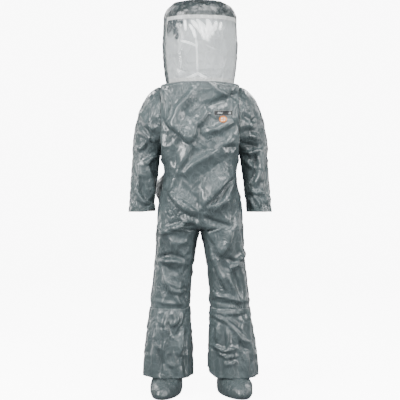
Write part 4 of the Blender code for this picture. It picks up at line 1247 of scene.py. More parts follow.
def object_from(name, bm, surface, smooth=True):
    mesh = bpy.data.meshes.new(name)
    bm.to_mesh(mesh)
    bm.free()
    if smooth:
        mesh.shade_smooth()
        mesh.set_sharp_from_angle(angle=math.radians(40))
    places = np.array([v.co for v in mesh.vertices], np.float32)
    places[:, 2] -= SOLES
    keep_rest(mesh, places)
    mesh.materials.append(surface)
    return linked(name, mesh)


def surface_of(key):
    """A material that an earlier step made."""
    return bpy.data.materials[SURFACE_PREFIX + key]


# ---------------------------------------------------------------- steps


class SUIT_OT_materials(bpy.types.Operator):
    """Makes the suit's materials: coated fabric, lining, visor film, tapes, textiles and moulded parts"""

    bl_idname = "suit.materials"
    bl_label = "Make Materials"

    def execute(self, context):
        fabric = context.scene.suit_fabric
        visor = context.scene.suit_visor
        coated_fabric("coated_fabric", fabric)
        # the crown's copy of the fabric, about half as bright as the rest: a painted shade over the crumpled
        # crown
        coated_fabric("crown_fabric_painted_shade", fabric, facets=1.0, fine=1.2, distance=0.0055, scale=1.9, depth=0.48)
        coated_fabric("flap_fabric", fabric, facets=0.45, fine=1.1, distance=0.0022, scale=1.5)
        coated_fabric("bootie_fabric", fabric, facets=0.8, fine=1.2, distance=0.0030, scale=1.7, depth=0.85)
        coated_fabric("cad_fabric", fabric, on_cad=True)
        lining_fabric("lining", fabric)
        visor_film("visor_film", visor)
        seam_tape("seam_tape", fabric)
        seam_tape("cad_seam_tape", fabric, on_cad=True)
        woven("zip_fabric", (0.035, 0.036, 0.040), 2600.0)
        woven("elastic", (0.66, 0.66, 0.63), 2000.0, fuzz=0.2)
        woven("hook_loop", (0.05, 0.053, 0.057), 3200.0, 0.95, fuzz=0.4)
        woven("loop_webbing", (0.34, 0.35, 0.33), 1800.0)
        moulded("moulded_plastic", (0.030, 0.031, 0.034), 0.40)
        moulded("valve_rubber", (0.50, 0.14, 0.05), 0.55, 0.2)
        banner_print("label_print")
        badge_print("badge_print")
        return {"FINISHED"}


class SUIT_OT_coverall(bpy.types.Operator):
    """Makes the body and legs as one creased fabric, and cuts it down the middle and above the knees"""

    bl_idname = "suit.coverall"
    bl_label = "Make Coverall"

    def execute(self, context):
        folds = context.scene.suit_folds
        fabric = self.shell(folds.cell)
        self.armholes(fabric)
        rest = fabric.at["rest"]
        self.bulge(fabric)
        broad = fold_rise(rest[:, 0], rest[:, 2], BODY_FOLDS, folds.depth)
        calm = self.calm(rest)
        fabric.push(broad * self.facing(rest) * calm * 0.8)
        held = np.clip(0.30 + 0.70 * (1 - calm), 0.0, 1.0)
        settle(fabric, held, folds.slack, folds, gravity=0.5, pressure=0.0)
        fabric = fabric.finer()
        rest = fabric.at["rest"]
        calm = self.calm(rest)
        sharp = fold_rise(rest[:, 0], rest[:, 2], BODY_FOLDS, folds.depth) * self.facing(rest) * 0.45
        u, v = fabric.at["run"], rest[:, 2]
        sharp += scattered(u, v, 11, 110, 0.16, 0.030, 0.0036, 70.0, 45.0)
        sharp += scattered(u, v, 12, 200, 0.07, 0.014, 0.0015, 40.0, 90.0)
        fabric.push(sharp * calm)
        normals = fabric.normals()
        x = rest[:, 0][fabric.faces].mean(1)
        up = rest[:, 2][fabric.faces].mean(1)
        cloth = surface_of("coated_fabric")
        for side, sign in SIDES:
            own = x * sign > 0
            body = cut_piece(f"{side}_coverall", fabric, own & (up > LEG_SPLIT), cloth, normals=normals)
            leg = cut_piece(f"{side}_trouser_leg", fabric, own & (up < LEG_SPLIT), cloth, normals=normals)
            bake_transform(body)
            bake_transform(leg)
            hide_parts(f"{side}_seat_panel")
            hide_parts(f"{side}_leg_thigh", f"{side}_leg_knee")
            panels = ("torso_back_right_panel",)
            if sign > 0:
                panels = ("torso_front_panel", "torso_back_left_panel")
            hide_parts(*panels)
        return {"FINISHED"}

    def shell(self, cell):
        heights = np.concatenate(
            [
                np.linspace(BODY_TOP, WAIST_END, round((BODY_TOP - WAIST_END) / cell) + 1),
                np.linspace(WAIST_END, CROTCH, round(0.07 / cell) + 1)[1:],
                np.linspace(CROTCH, LEG_SPLIT, round(0.155 / cell) + 1)[1:],
                np.linspace(LEG_SPLIT, FLAP_TOP - UNDER_FLAP, round(0.242 / cell) + 1)[1:],
            ]
        )
        count = 2 * round(HALF_ROUND / cell)
        points, faces, runs = [], [], []
        for sign in (1, -1):
            made = []
            for height in heights:
                x, y, run = half_outline(height, count)
                made.append(np.stack([sign * x, y, np.full(len(x), height)], 1))
                runs.append(sign * run)
            base = sum(len(p) for p in points)
            points.append(np.concatenate(made))
            faces.append(grid_faces(len(heights), count + 1, False, sign < 0) + base)
        places, quads, values = welded(
            np.concatenate(points), np.concatenate(faces), {"run": np.concatenate(runs)}
        )
        return Fabric(places, quads, **values)

    def armholes(self, fabric):
        """Opens the armholes, and moves the points next to them onto the circle."""
        p = fabric.points
        flat = np.abs(np.abs(p[:, 0]) - SHOULDER_PLANE) < 0.004
        distance = np.hypot(p[:, 1], p[:, 2] - ARMHOLE_HEIGHT)
        inside = flat & (distance < ARMHOLE_RADIUS - 0.001)
        gone = inside[fabric.faces].all(axis=1)
        touched = np.zeros(len(p), bool)
        touched[fabric.faces[gone].ravel()] = True
        kept = np.zeros(len(p), bool)
        kept[fabric.faces[~gone].ravel()] = True
        rim = touched & kept
        scale = ARMHOLE_RADIUS / np.maximum(distance[rim], 1e-6)
        p[rim, 1] *= scale
        p[rim, 2] = ARMHOLE_HEIGHT + (p[rim, 2] - ARMHOLE_HEIGHT) * scale
        p[rim, 0] = np.sign(p[rim, 0]) * SHOULDER_PLANE
        used, index = np.unique(fabric.faces[~gone], return_inverse=True)
        fabric.faces = index.reshape(-1, 4)
        fabric.points = p[used]
        fabric.at = {key: value[used] for key, value in fabric.at.items()}
        fabric.at["rest"] = fabric.points.copy()

    def bulge(self, fabric):
        """The roomy back shows beside the wearer's right hip, below the elbow."""
        p = fabric.points
        lift = np.exp(-(((p[:, 2] - 1.005) / 0.050) ** 2)) * ramp(-p[:, 0], 0.08, 0.17)
        lift *= np.exp(-(((p[:, 1] - 0.150) / 0.100) ** 2))
        fabric.points = p + lift[:, None] * np.array((-0.068, 0.006, 0.0))

    def facing(self, rest):
        return ramp(-rest[:, 1], -0.02, 0.05)

    def calm(self, rest):
        """0 where the fabric is sewn to something stiff, and 1 where it is free."""
        x, y, up = rest.T
        free = ramp(BODY_TOP - up, 0.0, 0.03) * ramp(up - FLAP_TOP, 0.0, 0.03)
        ring = np.abs(np.hypot(y, up - ARMHOLE_HEIGHT) - ARMHOLE_RADIUS)
        free *= np.where(np.abs(x) > SHOULDER_PLANE - 0.012, ramp(ring, 0.0, 0.014), 1.0)
        zipped = (y > 0.12) & (up > ZIP_LOW - 0.06)
        free *= np.where(zipped, ramp(np.abs(x), 0.062, 0.10), 1.0)
        valve = np.hypot(np.abs(x) - VALVE_X, up - VALVE_HEIGHT)
        free *= np.where(y > 0.12, ramp(valve, 0.032, 0.06), 1.0)
        return free


class SUIT_OT_sleeves(bpy.types.Operator):
    """Makes both sleeves with their cuffs, and lets them wrinkle by cloth simulation"""

    bl_idname = "suit.sleeves"
    bl_label = "Make Sleeves"

    def execute(self, context):
        folds = context.scene.suit_folds
        cell = folds.cell
        count = 2 * round(HALF_ROUND / cell)
        turns = np.linspace(0.0, math.radians(84), round(0.40 / cell))
        straight = np.linspace(SLEEVE_TURN, CUFF_BOTTOM, round((SLEEVE_TURN - CUFF_BOTTOM) / cell) + 2)
        for side, sign in SIDES:
            rings = [sleeve_section(t, True, count) for t in turns]
            rings += [sleeve_section(h, False, count) for h in straight]
            levels = np.repeat(np.concatenate([-turns, 2.0 - straight]), count)
            points = np.concatenate(rings)
            points[:, 0] *= sign
            run = np.tile(np.arange(count) / count * 0.5, len(rings))
            fabric = Fabric(points, grid_faces(len(rings), count, True, sign < 0), level=levels, run=run)
            self.shape_cuff(fabric, side)
            rest = fabric.at["rest"]
            sewn = self.free(fabric)
            front = ramp(-rest[:, 1], -0.01, 0.03)
            broad = fold_rise(rest[:, 0], rest[:, 2], SLEEVE_FOLDS[side], folds.depth)
            fabric.push(broad * front * sewn * 0.7)
            held = np.clip(0.34 + 0.66 * (1 - sewn), 0.0, 1.0)
            settle(fabric, held, folds.slack * 1.1, folds, gravity=0.4, reach=folds.reach * 0.8)
            fabric = fabric.finer()
            rest = fabric.at["rest"]
            sewn = self.free(fabric)
            front = ramp(-rest[:, 1], -0.01, 0.03)
            sharp = fold_rise(rest[:, 0], rest[:, 2], SLEEVE_FOLDS[side], folds.depth) * front * 0.45
            u, v = fabric.at["run"], rest[:, 2]
            sharp += scattered(u, v, 21 + sign, 40, 0.12, 0.026, 0.0036, 80.0, 50.0)
            sharp += scattered(u, v, 31 + sign, 70, 0.05, 0.012, 0.0015, 30.0, 90.0)
            inner = (np.abs(rest[:, 0]) < 0.235) & (rest[:, 2] > 1.15)
            sharp = np.where(inner, np.minimum(sharp, 0.0), sharp)
            fabric.push(sharp * sewn)
            keep = np.ones(len(fabric.faces), bool)
            piece = cut_piece(f"{side}_sleeve", fabric, keep, surface_of("coated_fabric"))
            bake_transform(piece)
            nodes = ("sleeve_upper", "sleeve_elbow", "sleeve_lower", "cuff_hem")
            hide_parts(*[f"{side}_{part}" for part in nodes])
        return {"FINISHED"}

    def free(self, fabric):
        rest, level = fabric.at["rest"], fabric.at["level"]
        start = np.where(level <= 0, ramp(-level, 0.0, 0.08), 1.0)
        return start * ramp(rest[:, 2] - CUFF_BOTTOM, -0.004, 0.02)

    def shape_cuff(self, fabric, side):
        """One cuff is gathered by its elastic. The other hangs open, with its inner edge curled up."""
        p = fabric.points
        low = ramp(0.935 - p[:, 2], 0.0, 0.055)
        across = np.abs(p[:, 0]) - 0.275
        if side == "left":
            waves = np.sin(fabric.at["run"] / 0.5 * 2 * math.pi * 13) * 0.0022
            fabric.points = p + fabric.normals() * (low * (waves + 0.0012))[:, None]
            return
        inner = ramp(-across, -0.005, 0.055)
        front = ramp(-p[:, 1], -0.02, 0.05)
        curl = low * inner
        fabric.points = p + np.stack([curl * 0.014, -curl * front * 0.010, curl * (0.020 * front + 0.004)], 1)


class SUIT_OT_hood(bpy.types.Operator):
    """Makes the hood, its crown, the visor film and the sealed tapes round it"""

    bl_idname = "suit.hood"
    bl_label = "Make Hood and Visor"

    def execute(self, context):
        folds = context.scene.suit_folds
        visor = context.scene.suit_visor
        count = 132
        fabric = self.shell(count)
        rest = fabric.at["rest"]
        held = ramp(1.53 - rest[:, 2], 0.0, 0.03)
        settle(fabric, np.clip(0.45 + 0.55 * held, 0, 1), folds.slack * 0.6, folds, gravity=0.1, reach=0.005)
        fabric = fabric.finer()
        rest = fabric.at["rest"]
        u, v = fabric.at["run"], fabric.at["level"]
        on_crown = ramp(rest[:, 2], BROW - 0.004, BROW + 0.012)
        angle = np.arctan2(rest[:, 1], rest[:, 0])
        turn = np.abs((angle + math.pi / 2 - visor.turn + math.pi) % (2 * math.pi) - math.pi)
        on_visor = (turn < visor.spread) & (rest[:, 2] < BROW)
        rough = scattered(u, v, 41, 70, 0.16, 0.024, 0.0060, 8.0, 30.0)
        rough += scattered(u, v, 42, 120, 0.06, 0.012, 0.0030, 30.0, 90.0)
        gentle = scattered(u, v, 43, 40, 0.12, 0.030, 0.0018, 80.0, 40.0)
        near_brow = np.exp(-(((rest[:, 0] - 0.005) / 0.075) ** 2)) * ramp(rest[:, 2], 1.725, 1.780)
        crumpled = scattered(u, v, 44, 260, 0.045, 0.012, 0.0045, 20.0, 90.0) * near_brow
        centre = ramp(rest[:, 2], 1.900, CROWN_TOP)
        base = ramp(rest[:, 2], HOOD_BASE, HOOD_BASE + 0.012)
        push = on_crown * rough * (1 - centre) + (1 - on_crown) * (gentle + crumpled * (rest[:, 1] < 0))
        push = np.clip(push * base, -0.010, 0.006)
        fabric.push(push)
        normals = fabric.normals()
        faces = fabric.faces
        up = rest[:, 2][faces].mean(1)
        side_of = rest[:, 0][faces].mean(1)
        visor_face = on_visor[faces].all(1)
        crown_face = (up > BROW) & ~visor_face
        cloth = surface_of("coated_fabric")
        crown = cut_piece("crown", fabric, crown_face, surface_of("crown_fabric_painted_shade"), normals=normals)
        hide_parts("hood_crown")
        # the visor film's painted glare and painted shade, carried in its creased attribute
        creases = self.marks(rest)
        clear = surface_of("visor_film")
        film = cut_piece("visor_film", fabric, visor_face, clear, normals=normals, creased=creases)
        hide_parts("visor")
        pieces = [crown]
        for side, sign in SIDES:
            keep = ~visor_face & ~crown_face & (side_of * sign > 0)
            panel = cut_piece(f"{side}_hood_side", fabric, keep, cloth, normals=normals)
            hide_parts(f"hood_{side}_panel")
            pieces.append(panel)
        edge = (visor.spread - turn) * 0.19
        wide = visor.tape_width
        band = (edge < wide * 0.36) | (rest[:, 2] > BROW - wide) | (rest[:, 2] < HOOD_BASE + wide)
        tape_face = visor_face & (band[faces].sum(1) > 2)
        taped = surface_of("seam_tape")
        tape = cut_piece("visor_frame", fabric, tape_face, taped, TAPE_LIFT, normals=normals)
        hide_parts("visor_seal_tape")
        for piece in (*pieces, film, tape):
            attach(piece, "suit")
        inside = visor_face | crown_face
        back = fabric.faces[~inside]
        behind = np.abs(rest[:, 0][back]).max(1) < 0.011
        keep = np.zeros(len(faces), bool)
        keep[np.nonzero(~inside)[0][behind & (rest[:, 1][back].mean(1) > 0)]] = True
        strip = cut_piece("hood_back_strip", fabric, keep, taped, -TAPE_LIFT, normals=normals)
        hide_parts("hood_back_seam_tape")
        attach(strip, "suit")
        return {"FINISHED"}

    def marks(self, rest):
        """The film's painted marks: above 0 a painted glare of the lamps on its crumpled top, below 0 a
        painted shade under the brow.
        """
        x, up = rest[:, 0], rest[:, 2]
        painted_glare = stroked(x, up, [stroke for stroke in VISOR_GLARE_AND_SHADE if stroke[2] > 0])
        dark = stroked(x, up, [(path, half, -share) for path, half, share in VISOR_GLARE_AND_SHADE if share < 0])
        # painted shade along the brow, and deeper in the top corner on the wearer's right
        brow = ramp(up, 1.730, 1.800) * 0.35 + ramp(-x, 0.030, 0.130) * ramp(up, 1.670, 1.760) * 0.60
        dark = np.maximum(dark, brow) * (1.0 - np.clip(painted_glare * 2.0, 0.0, 1.0))
        return (painted_glare - dark) * (rest[:, 1] < 0)

    def shell(self, count):
        rings, levels = [], []
        for height in np.linspace(HOOD_BASE, BROW, 29):
            x, y, _ = ring_outline(HOOD, height, count)
            rings.append(np.stack([x, y, np.full(count, height)], 1))
            levels.append(height)
        x, y, _ = ring_outline(HOOD, BROW, count)
        full = math.sin(CROWN_TURN) ** CROWN_ROUND
        for turn in np.linspace(0.0, CROWN_TURN, 14)[1:]:
            shrink = math.cos(turn) ** CROWN_ROUND
            height = BROW + (CROWN_TOP - BROW) * math.sin(turn) ** CROWN_ROUND / full
            rings.append(np.stack([x * shrink, y * shrink, np.full(count, height)], 1))
            levels.append(levels[-1] + 0.016)
        for shrink in (0.14, 0.08, 0.03):
            rings.append(np.stack([x * shrink, y * shrink, np.full(count, CROWN_TOP)], 1))
            levels.append(levels[-1] + 0.010)
        rings = rings[::-1]
        levels = levels[::-1]
        run = np.tile(np.arange(count) / count * 1.2, len(rings))
        return Fabric(
            np.concatenate(rings),
            grid_faces(len(rings), count, True),
            run=run,
            level=np.repeat(levels, count),
        )


class SUIT_OT_boots(bpy.types.Operator):
    """Makes the splash flaps over the boots, the inner leg ends and the booties with their soles"""

    bl_idname = "suit.boots"
    bl_label = "Make Boot Flaps and Booties"

    def execute(self, context):
        folds = context.scene.suit_folds
        for side, sign in SIDES:
            self.flap(side, sign, folds)
            self.bootie(side, sign)
        return {"FINISHED"}

    def flap(self, side, sign, folds):
        count = 76
        heights = np.linspace(FLAP_TOP, FLAP_HEM, 34)
        rings = []
        for height in heights:
            x, y, _ = ring_outline(BOOT_FLAP, height, count)
            rings.append(np.stack([sign * x, y, np.full(count, height)], 1))
        run = np.tile(np.arange(count) / count * 0.7, len(rings))
        fabric = Fabric(np.concatenate(rings), grid_faces(len(rings), count, True, sign < 0), run=run)
        rest = fabric.at["rest"]
        top = ramp(FLAP_TOP - rest[:, 2], 0.0, 0.025)
        front = ramp(-rest[:, 1], -0.02, 0.03)
        rise = fold_rise(rest[:, 0], rest[:, 2], FLAP_FOLDS[side], folds.depth) * front
        turn = run / 0.7 * 2 * math.pi
        waves = np.sin(turn * 7 + sign) * 0.0040 + np.sin(turn * 12 + 2.0) * 0.0024
        fabric.push((rise * 0.7 + waves * ramp(FLAP_TOP - rest[:, 2], 0.03, 0.26)) * top)
        held = np.clip(0.28 + 0.72 * (1 - top), 0, 1)
        settle(fabric, held, folds.slack * 1.1, folds, gravity=0.3, reach=0.009)
        fabric = fabric.finer()
        rest = fabric.at["rest"]
        top = ramp(FLAP_TOP - rest[:, 2], 0.0, 0.02)
        front = ramp(-rest[:, 1], -0.02, 0.03)
        sharp = fold_rise(rest[:, 0], rest[:, 2], FLAP_FOLDS[side], folds.depth) * front * 0.45
        u, v = fabric.at["run"], rest[:, 2]
        sharp += scattered(u, v, 51 + sign, 34, 0.14, 0.024, 0.0034, 88.0, 22.0)
        sharp += scattered(u, v, 61 + sign, 70, 0.05, 0.011, 0.0015, 40.0, 90.0)
        fabric.push(np.clip(sharp, -0.010, 0.008) * top)
        hem = ramp(0.125 - rest[:, 2], 0.0, 0.04)
        x = rest[:, 0] * sign
        if side == "left":
            lift = ramp(0.078 - x, 0.0, 0.05) * 0.040
        else:
            lift = ramp(x - 0.215, 0.0, 0.07) * 0.008
        fabric.points[:, 2] += hem * lift
        keep = np.ones(len(fabric.faces), bool)
        outside, inside = surface_of("flap_fabric"), surface_of("lining")
        piece = walled_piece(f"{side}_splash_flap", fabric, keep, outside, inside, FLAP_WALL)
        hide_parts(f"{side}_boot_flap")
        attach(piece, f"{side}_shin")

    def bootie(self, side, sign):
        count = 64
        turn = math.radians(TOE_OUT[side]) * sign
        heights = np.concatenate([np.linspace(0.300, 0.128, 10), np.linspace(0.118, 0.006, 17)])
        rings = []
        for height in heights:
            if height > 0.12:
                x, y, _ = ring_outline(LEG, height, count)
                rings.append(np.stack([sign * x, y, np.full(count, height)], 1))
                continue
            along, half_length, half_width = table_row(FOOT, height)
            a = np.linspace(0.0, 2 * math.pi, 721)[:-1]
            x = half_width * np.cos(a)
            y = -along + half_length * np.sin(a)
            x = x * (1.0 - 0.12 * np.maximum(0.0, (y + 0.02) / 0.1))
            x, y, _ = evenly(x, y, count, closed=True)
            c, s = math.cos(turn), math.sin(turn)
            middle = sign * (LEG[-1][1] - FOOT_INWARD[side] * (1 - height / ANKLE))
            rings.append(np.stack([middle + c * x - s * y, s * x + c * y, np.full(count, height)], 1))
            if sign < 0:
                rings[-1] = self.same_way(rings[-1])
        sole = rings[-1]
        middle = sole.mean(0)
        for shrink, height in ((0.96, 0.0012), (0.90, 0.0002), (0.5, 0.0002), (0.05, 0.0002)):
            ring = middle + (sole - middle) * shrink
            ring[:, 2] = height
            rings.append(ring)
        run = np.tile(np.arange(count) / count * 0.6, len(rings))
        fabric = Fabric(np.concatenate(rings), grid_faces(len(rings), count, True, sign < 0), run=run)
        fabric = fabric.finer()
        rest = fabric.at["rest"]
        u, v = fabric.at["run"], rest[:, 2]
        foot = ramp(v, 0.004, 0.03)
        rough = scattered(u, v, 71 + sign, 40, 0.09, 0.020, 0.0050, 5.0, 50.0)
        rough += scattered(u, v, 81 + sign, 90, 0.04, 0.010, 0.0028, 30.0, 90.0)
        gathers = np.sin(u / 0.6 * 2 * math.pi * 19) * 0.0020 * np.exp(-(((v - 0.100) / 0.014) ** 2))
        pinch = -0.004 * np.exp(-(((v - 0.102) / 0.006) ** 2))
        fabric.push((np.clip(rough, -0.008, 0.005) + gathers + pinch) * foot * ramp(0.29 - v, 0.0, 0.05))
        keep = np.ones(len(fabric.faces), bool)
        piece = cut_piece(f"{side}_bootie", fabric, keep, surface_of("bootie_fabric"))
        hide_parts(f"{side}_bootie_upper", f"{side}_bootie_sole", f"{side}_leg_shin")
        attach(piece, f"{side}_shin")

    def same_way(self, ring):
        """The right foot's outline, run the same way round as its leg's."""
        order = (len(ring) // 2 - np.arange(len(ring))) % len(ring)
        return ring[order]


class SUIT_OT_closures(bpy.types.Operator):
    """Makes the storm flap over the zip, the chest label and tag, and the hang loop"""

    bl_idname = "suit.closures"
    bl_label = "Make Storm Flap, Labels and Loop"

    def execute(self, context):
        self.storm_flap()
        self.labels()
        self.hang_loop()
        return {"FINISHED"}

    def storm_flap(self):
        lean = math.atan2(BACK_LOW - BACK_TOP, BACK_START - ZIP_LOW)
        half, flat, base, rise, wall = 0.048, 0.022, 0.0032, 0.020, 0.0015
        arch = half - flat
        low, high = np.linspace(-half, -arch, 6)[:-1], np.linspace(arch, half, 6)[1:]
        across = np.concatenate([low, np.linspace(-arch, arch, 21), high])
        down = np.linspace(-0.018, 0.5749, 90)
        rows = []
        for d in down:
            share = np.clip(1 - (across / arch) ** 2, 0.0, 1.0)
            out = base + wall + (rise - base) * share**0.6
            y = back_plane(ZIP_TOP) + math.cos(lean) * out + math.sin(lean) * d
            up = ZIP_TOP - math.cos(lean) * d + math.sin(lean) * out
            rows.append(np.stack([across, y, up], 1))
        run = np.tile(across, len(rows))
        fabric = Fabric(np.concatenate(rows), grid_faces(len(rows), len(across), False, True), run=run)
        rest = fabric.at["rest"]
        rough = scattered(run, rest[:, 2], 91, 60, 0.07, 0.014, 0.0022, 15.0, 60.0)
        free = ramp(half - np.abs(run), 0.004, 0.016)
        fabric.push(np.clip(rough, -0.0012, 0.0035) * free)
        if fabric.normals()[:, 1].mean() < 0:
            fabric.faces = fabric.faces[:, ::-1]
        keep = np.ones(len(fabric.faces), bool)
        outside, inside = surface_of("flap_fabric"), surface_of("lining")
        piece = walled_piece("storm_cover", fabric, keep, outside, inside, wall)
        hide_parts("storm_flap")
        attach(piece, "storm_flap")

    def labels(self):
        """The print lies on the creased chest."""
        chest = bpy.data.objects["left_coverall"]
        corners = [v.co for v in chest.data.vertices]
        tree = BVHTree.FromPolygons(corners, [p.vertices for p in chest.data.polygons])
        for name, node_name, middle, outline, surface, slot_name in (
            ("chest_banner", "chest_label", LABEL_MIDDLE, self.banner(), "label_print", "label_print"),
            ("chest_badge", "chest_tag", TAG_MIDDLE, self.badge(), "badge_print", "badge_print"),
        ):
            bm = bmesh.new()
            bm.faces.new([bm.verts.new((x, 0.0, z)) for x, z in outline])
            for axis, reach in ((Vector((1, 0, 0)), 0.046), (Vector((0, 0, 1)), 0.022)):
                for k in range(-12, 13):
                    geometry = bm.verts[:] + bm.edges[:] + bm.faces[:]
                    bmesh.ops.bisect_plane(bm, geom=geometry, plane_co=axis * (k * reach / 12), plane_no=axis)
            lift = 0.0012 if name == "chest_banner" else 0.0018
            for vert in bm.verts:
                x, up = vert.co.x + middle[0], vert.co.z + middle[1] + SOLES
                hit = tree.ray_cast(Vector((x, -0.5, up)), Vector((0, 1, 0)))[0]
                vert.co = Vector((x, hit.y - lift, up))
            bmesh.ops.recalc_face_normals(bm, faces=bm.faces)
            if sum(f.normal.y for f in bm.faces) > 0:
                bmesh.ops.reverse_faces(bm, faces=bm.faces)
            piece = object_from(name, bm, surface_of(surface))
            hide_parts(node_name)
            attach(piece, "suit")

    def banner(self):
        x, z = LABEL_HALF
        cut = 0.002
        lower = ((-x, -z + cut), (-x + cut, -z), (x - cut, -z), (x, -z + cut))
        return (*lower, (x, z - cut), (x - cut, z), (-x + cut, z), (-x, z - cut))

    def badge(self):
        turns = np.linspace(0.0, 2 * math.pi, 29)[:-1]
        return [(TAG_HALF[0] * math.cos(a), TAG_HALF[1] * math.sin(a)) for a in turns]

    def hang_loop(self):
        low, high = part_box("hang_loop")
        bm = bmesh.new()
        half = (high.x - low.x) / 2 - WEBBING_THICK
        top = high.z - half - WEBBING_THICK
        centre = [(half, low.z - 0.004)] + [(half, low.z + (top - low.z) * t / 3) for t in range(1, 3)]
        centre += [(half * math.cos(a), top + half * math.sin(a)) for a in np.linspace(0.0, math.pi, 17)]
        centre += [(-x, z) for x, z in reversed(centre[:3])]
        rings = []
        for i, (x, z) in enumerate(centre):
            before, after = centre[max(i - 1, 0)], centre[min(i + 1, len(centre) - 1)]
            way = Vector((after[0] - before[0], 0.0, after[1] - before[1])).normalized()
            out = Vector((way.z, 0.0, -way.x))
            ring = []
            for across, rise in WEBBING_SECTION:
                ring.append(bm.verts.new(Vector((x, across * WEBBING_HALF, z)) + out * rise * WEBBING_THICK))
            rings.append(ring)
        sides = len(WEBBING_SECTION)
        for a, b in zip(rings, rings[1:]):
            for k in range(sides):
                bm.faces.new((a[k], a[(k + 1) % sides], b[(k + 1) % sides], b[k]))
        bm.faces.new(rings[0])
        bm.faces.new(rings[-1][::-1])
        bmesh.ops.recalc_face_normals(bm, faces=bm.faces)
        piece = object_from("webbing_loop", bm, surface_of("loop_webbing"))
        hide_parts("hang_loop")
        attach(piece, "suit")


class SUIT_OT_fittings(bpy.types.Operator):
    """Gives the zip, its slider, the valves, strips and elastics their materials"""

    bl_idname = "suit.fittings"
    bl_label = "Finish Fittings"

    def execute(self, context):
        finishes = {
            "zip_chain": "moulded_plastic",
            "zip_left_tape": "zip_fabric",
            "zip_right_tape": "zip_fabric",
            "zip_top_stop": "moulded_plastic",
            "zip_bottom_stop": "moulded_plastic",
            "zip_slider": "moulded_plastic",
            "zip_slider_back_plate": "moulded_plastic",
            "zip_pull_tab": "moulded_plastic",
            "hook_strip": "hook_loop",
            "loop_strip": "hook_loop",
            "hood_base_seam_tape": "cad_seam_tape",
        }
        for side, _ in SIDES:
            finishes[f"{side}_valve_seat"] = "moulded_plastic"
            finishes[f"{side}_valve_disc"] = "valve_rubber"
            finishes[f"{side}_valve_cover"] = "cad_fabric"
            finishes[f"{side}_cuff_elastic"] = "elastic"
        for name, surface in finishes.items():
            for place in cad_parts[name].material_slots:
                place.material = surface_of(surface)
        return {"FINISHED"}


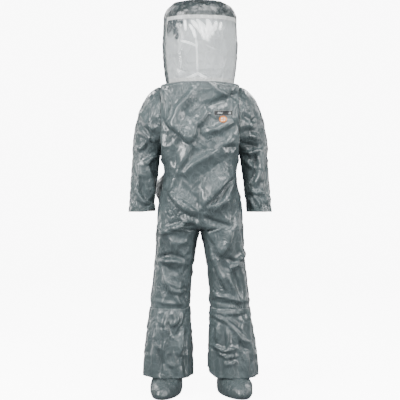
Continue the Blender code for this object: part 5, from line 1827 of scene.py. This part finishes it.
class SUIT_OT_stage(bpy.types.Operator):
    """Sets the pale floor and backdrop, the soft lights and the camera"""

    bl_idname = "suit.stage"
    bl_label = "Set Stage"

    def execute(self, context):
        settings = context.scene.suit_stage
        self.backdrop(settings)
        self.lights(context.scene)
        camera = linked("camera", bpy.data.cameras.new("camera"))
        camera.data.lens = settings.lens
        camera.data.sensor_width = 36.0
        camera.location = (0.0, -settings.camera_distance, SOLES + settings.camera_height)
        camera.rotation_euler = (math.pi / 2, 0.0, 0.0)
        context.scene.camera = camera
        return {"FINISHED"}

    def backdrop(self, settings):
        made, tree, shader = new_material("backdrop", 0.9)
        cloud = place_group(tree, cloudy_group(), object_place(tree), Scale=2.0)
        colour = tuple(settings.backdrop)
        shade = blend_colour(tree, cloud.outputs["Shade"], tuple(c * 0.99 for c in colour), colour)
        seen = node(tree, "ShaderNodeLightPath").outputs["Is Camera Ray"]
        wire(tree, blend_colour(tree, seen, (0.16, 0.17, 0.18), shade), shader.inputs["Base Color"])
        shader.inputs["Specular IOR Level"].default_value = 0.1
        glow = blend_colour(tree, seen, (0.0, 0.0, 0.0), (1.0, 1.0, 1.0))
        wire(tree, glow, shader.inputs["Emission Color"])
        shader.inputs["Emission Strength"].default_value = settings.glow
        bm = bmesh.new()
        floor = SOLES - 0.002
        profile = [(-9.0, floor), (7.0, floor)]
        curve = np.linspace(0.1, math.pi / 2, 12)
        profile += [(7.0 + 1.2 * math.sin(a), floor + 1.2 * (1 - math.cos(a))) for a in curve]
        profile += [(8.2, floor + 9.0)]
        rows = [[bm.verts.new((x, y, z)) for y, z in profile] for x in (-9.0, 9.0)]
        for k in range(len(profile) - 1):
            bm.faces.new((rows[0][k], rows[1][k], rows[1][k + 1], rows[0][k + 1]))
        bmesh.ops.recalc_face_normals(bm, faces=bm.faces)
        object_from("backdrop", bm, made)

    def lights(self, scene):
        world = bpy.data.worlds.new("soft_sky")
        world.use_nodes = True
        world.node_tree.nodes["Background"].inputs["Color"].default_value = (0.95, 0.97, 1.0, 1.0)
        world.node_tree.nodes["Background"].inputs["Strength"].default_value = 0.14
        scene.world = world
        middle = Vector((0.0, 0.0, SOLES + 1.0))
        for name, place, size, power in (
            ("key_left", (-2.6, -2.4, 2.2), (0.7, 2.2), 165.0),
            ("key_right", (2.9, -2.0, 1.5), (0.6, 2.4), 85.0),
            ("top", (0.3, -1.6, 3.3), (1.6, 0.6), 60.0),
            ("rim_left", (-1.9, 1.1, 1.2), (0.4, 2.4), 18.0),
            ("rim_right", (1.9, 1.1, 1.2), (0.4, 2.4), 14.0),
            ("front", (0.6, -5.2, 2.2), (1.6, 1.6), 70.0),
            ("back_left", (-2.6, 3.4, 4.0), (1.0, 1.6), 60.0),
            ("back_right", (2.2, 3.6, 3.8), (1.0, 1.6), 45.0),
        ):
            lamp = bpy.data.lights.new(name, "AREA")
            lamp.shape = "RECTANGLE"
            lamp.size, lamp.size_y = size
            lamp.energy = power
            lamp.color = (1.0, 1.0, 1.0)
            obj = linked(name, lamp)
            obj.location = (place[0], place[1], SOLES + place[2])
            obj.rotation_euler = (middle - obj.location).to_track_quat("-Z", "Y").to_euler()


class SUIT_PT_panel(bpy.types.Panel):
    """Sidebar panel with the suit's sizes, colours and steps"""

    bl_idname = "SUIT_PT_panel"
    bl_label = "Chemical Protective Suit"
    bl_space_type = "VIEW_3D"
    bl_region_type = "UI"
    bl_category = "Suit"

    def draw(self, context):
        layout = self.layout
        for group, keys in (
            (context.scene.suit_fabric, ("colour", "lining", "tape", "gloss")),
            (context.scene.suit_folds, ("slack", "frames", "reach", "depth", "cell")),
            (context.scene.suit_visor, ("tint", "haze", "through", "tape_width", "turn", "spread")),
            (context.scene.suit_stage, ("backdrop", "glow", "camera_distance", "camera_height", "lens")),
        ):
            column = layout.column(align=True)
            for key in keys:
                column.prop(group, key)
        column = layout.column(align=True)
        for step in STEPS:
            column.operator(step.bl_idname)


STEPS = (
    SUIT_OT_materials,
    SUIT_OT_coverall,
    SUIT_OT_sleeves,
    SUIT_OT_hood,
    SUIT_OT_boots,
    SUIT_OT_closures,
    SUIT_OT_fittings,
    SUIT_OT_stage,
)
GROUPS = (
    ("suit_fabric", SuitFabricSettings),
    ("suit_folds", SuitFoldSettings),
    ("suit_visor", SuitVisorSettings),
    ("suit_stage", SuitStageSettings),
)


def register():
    for key, group in GROUPS:
        bpy.utils.register_class(group)
        setattr(bpy.types.Scene, key, PointerProperty(type=group))
    for step in STEPS:
        bpy.utils.register_class(step)
    bpy.utils.register_class(SUIT_PT_panel)


def unregister():
    bpy.utils.unregister_class(SUIT_PT_panel)
    for step in reversed(STEPS):
        bpy.utils.unregister_class(step)
    for key, group in reversed(GROUPS):
        delattr(bpy.types.Scene, key)
        bpy.utils.unregister_class(group)


def main():
    register()
    bpy.ops.suit.materials()
    bpy.ops.suit.coverall()
    bpy.ops.suit.sleeves()
    bpy.ops.suit.hood()
    bpy.ops.suit.boots()
    bpy.ops.suit.closures()
    bpy.ops.suit.fittings()
    bpy.ops.suit.stage()


if __name__ == "__main__":
    main()
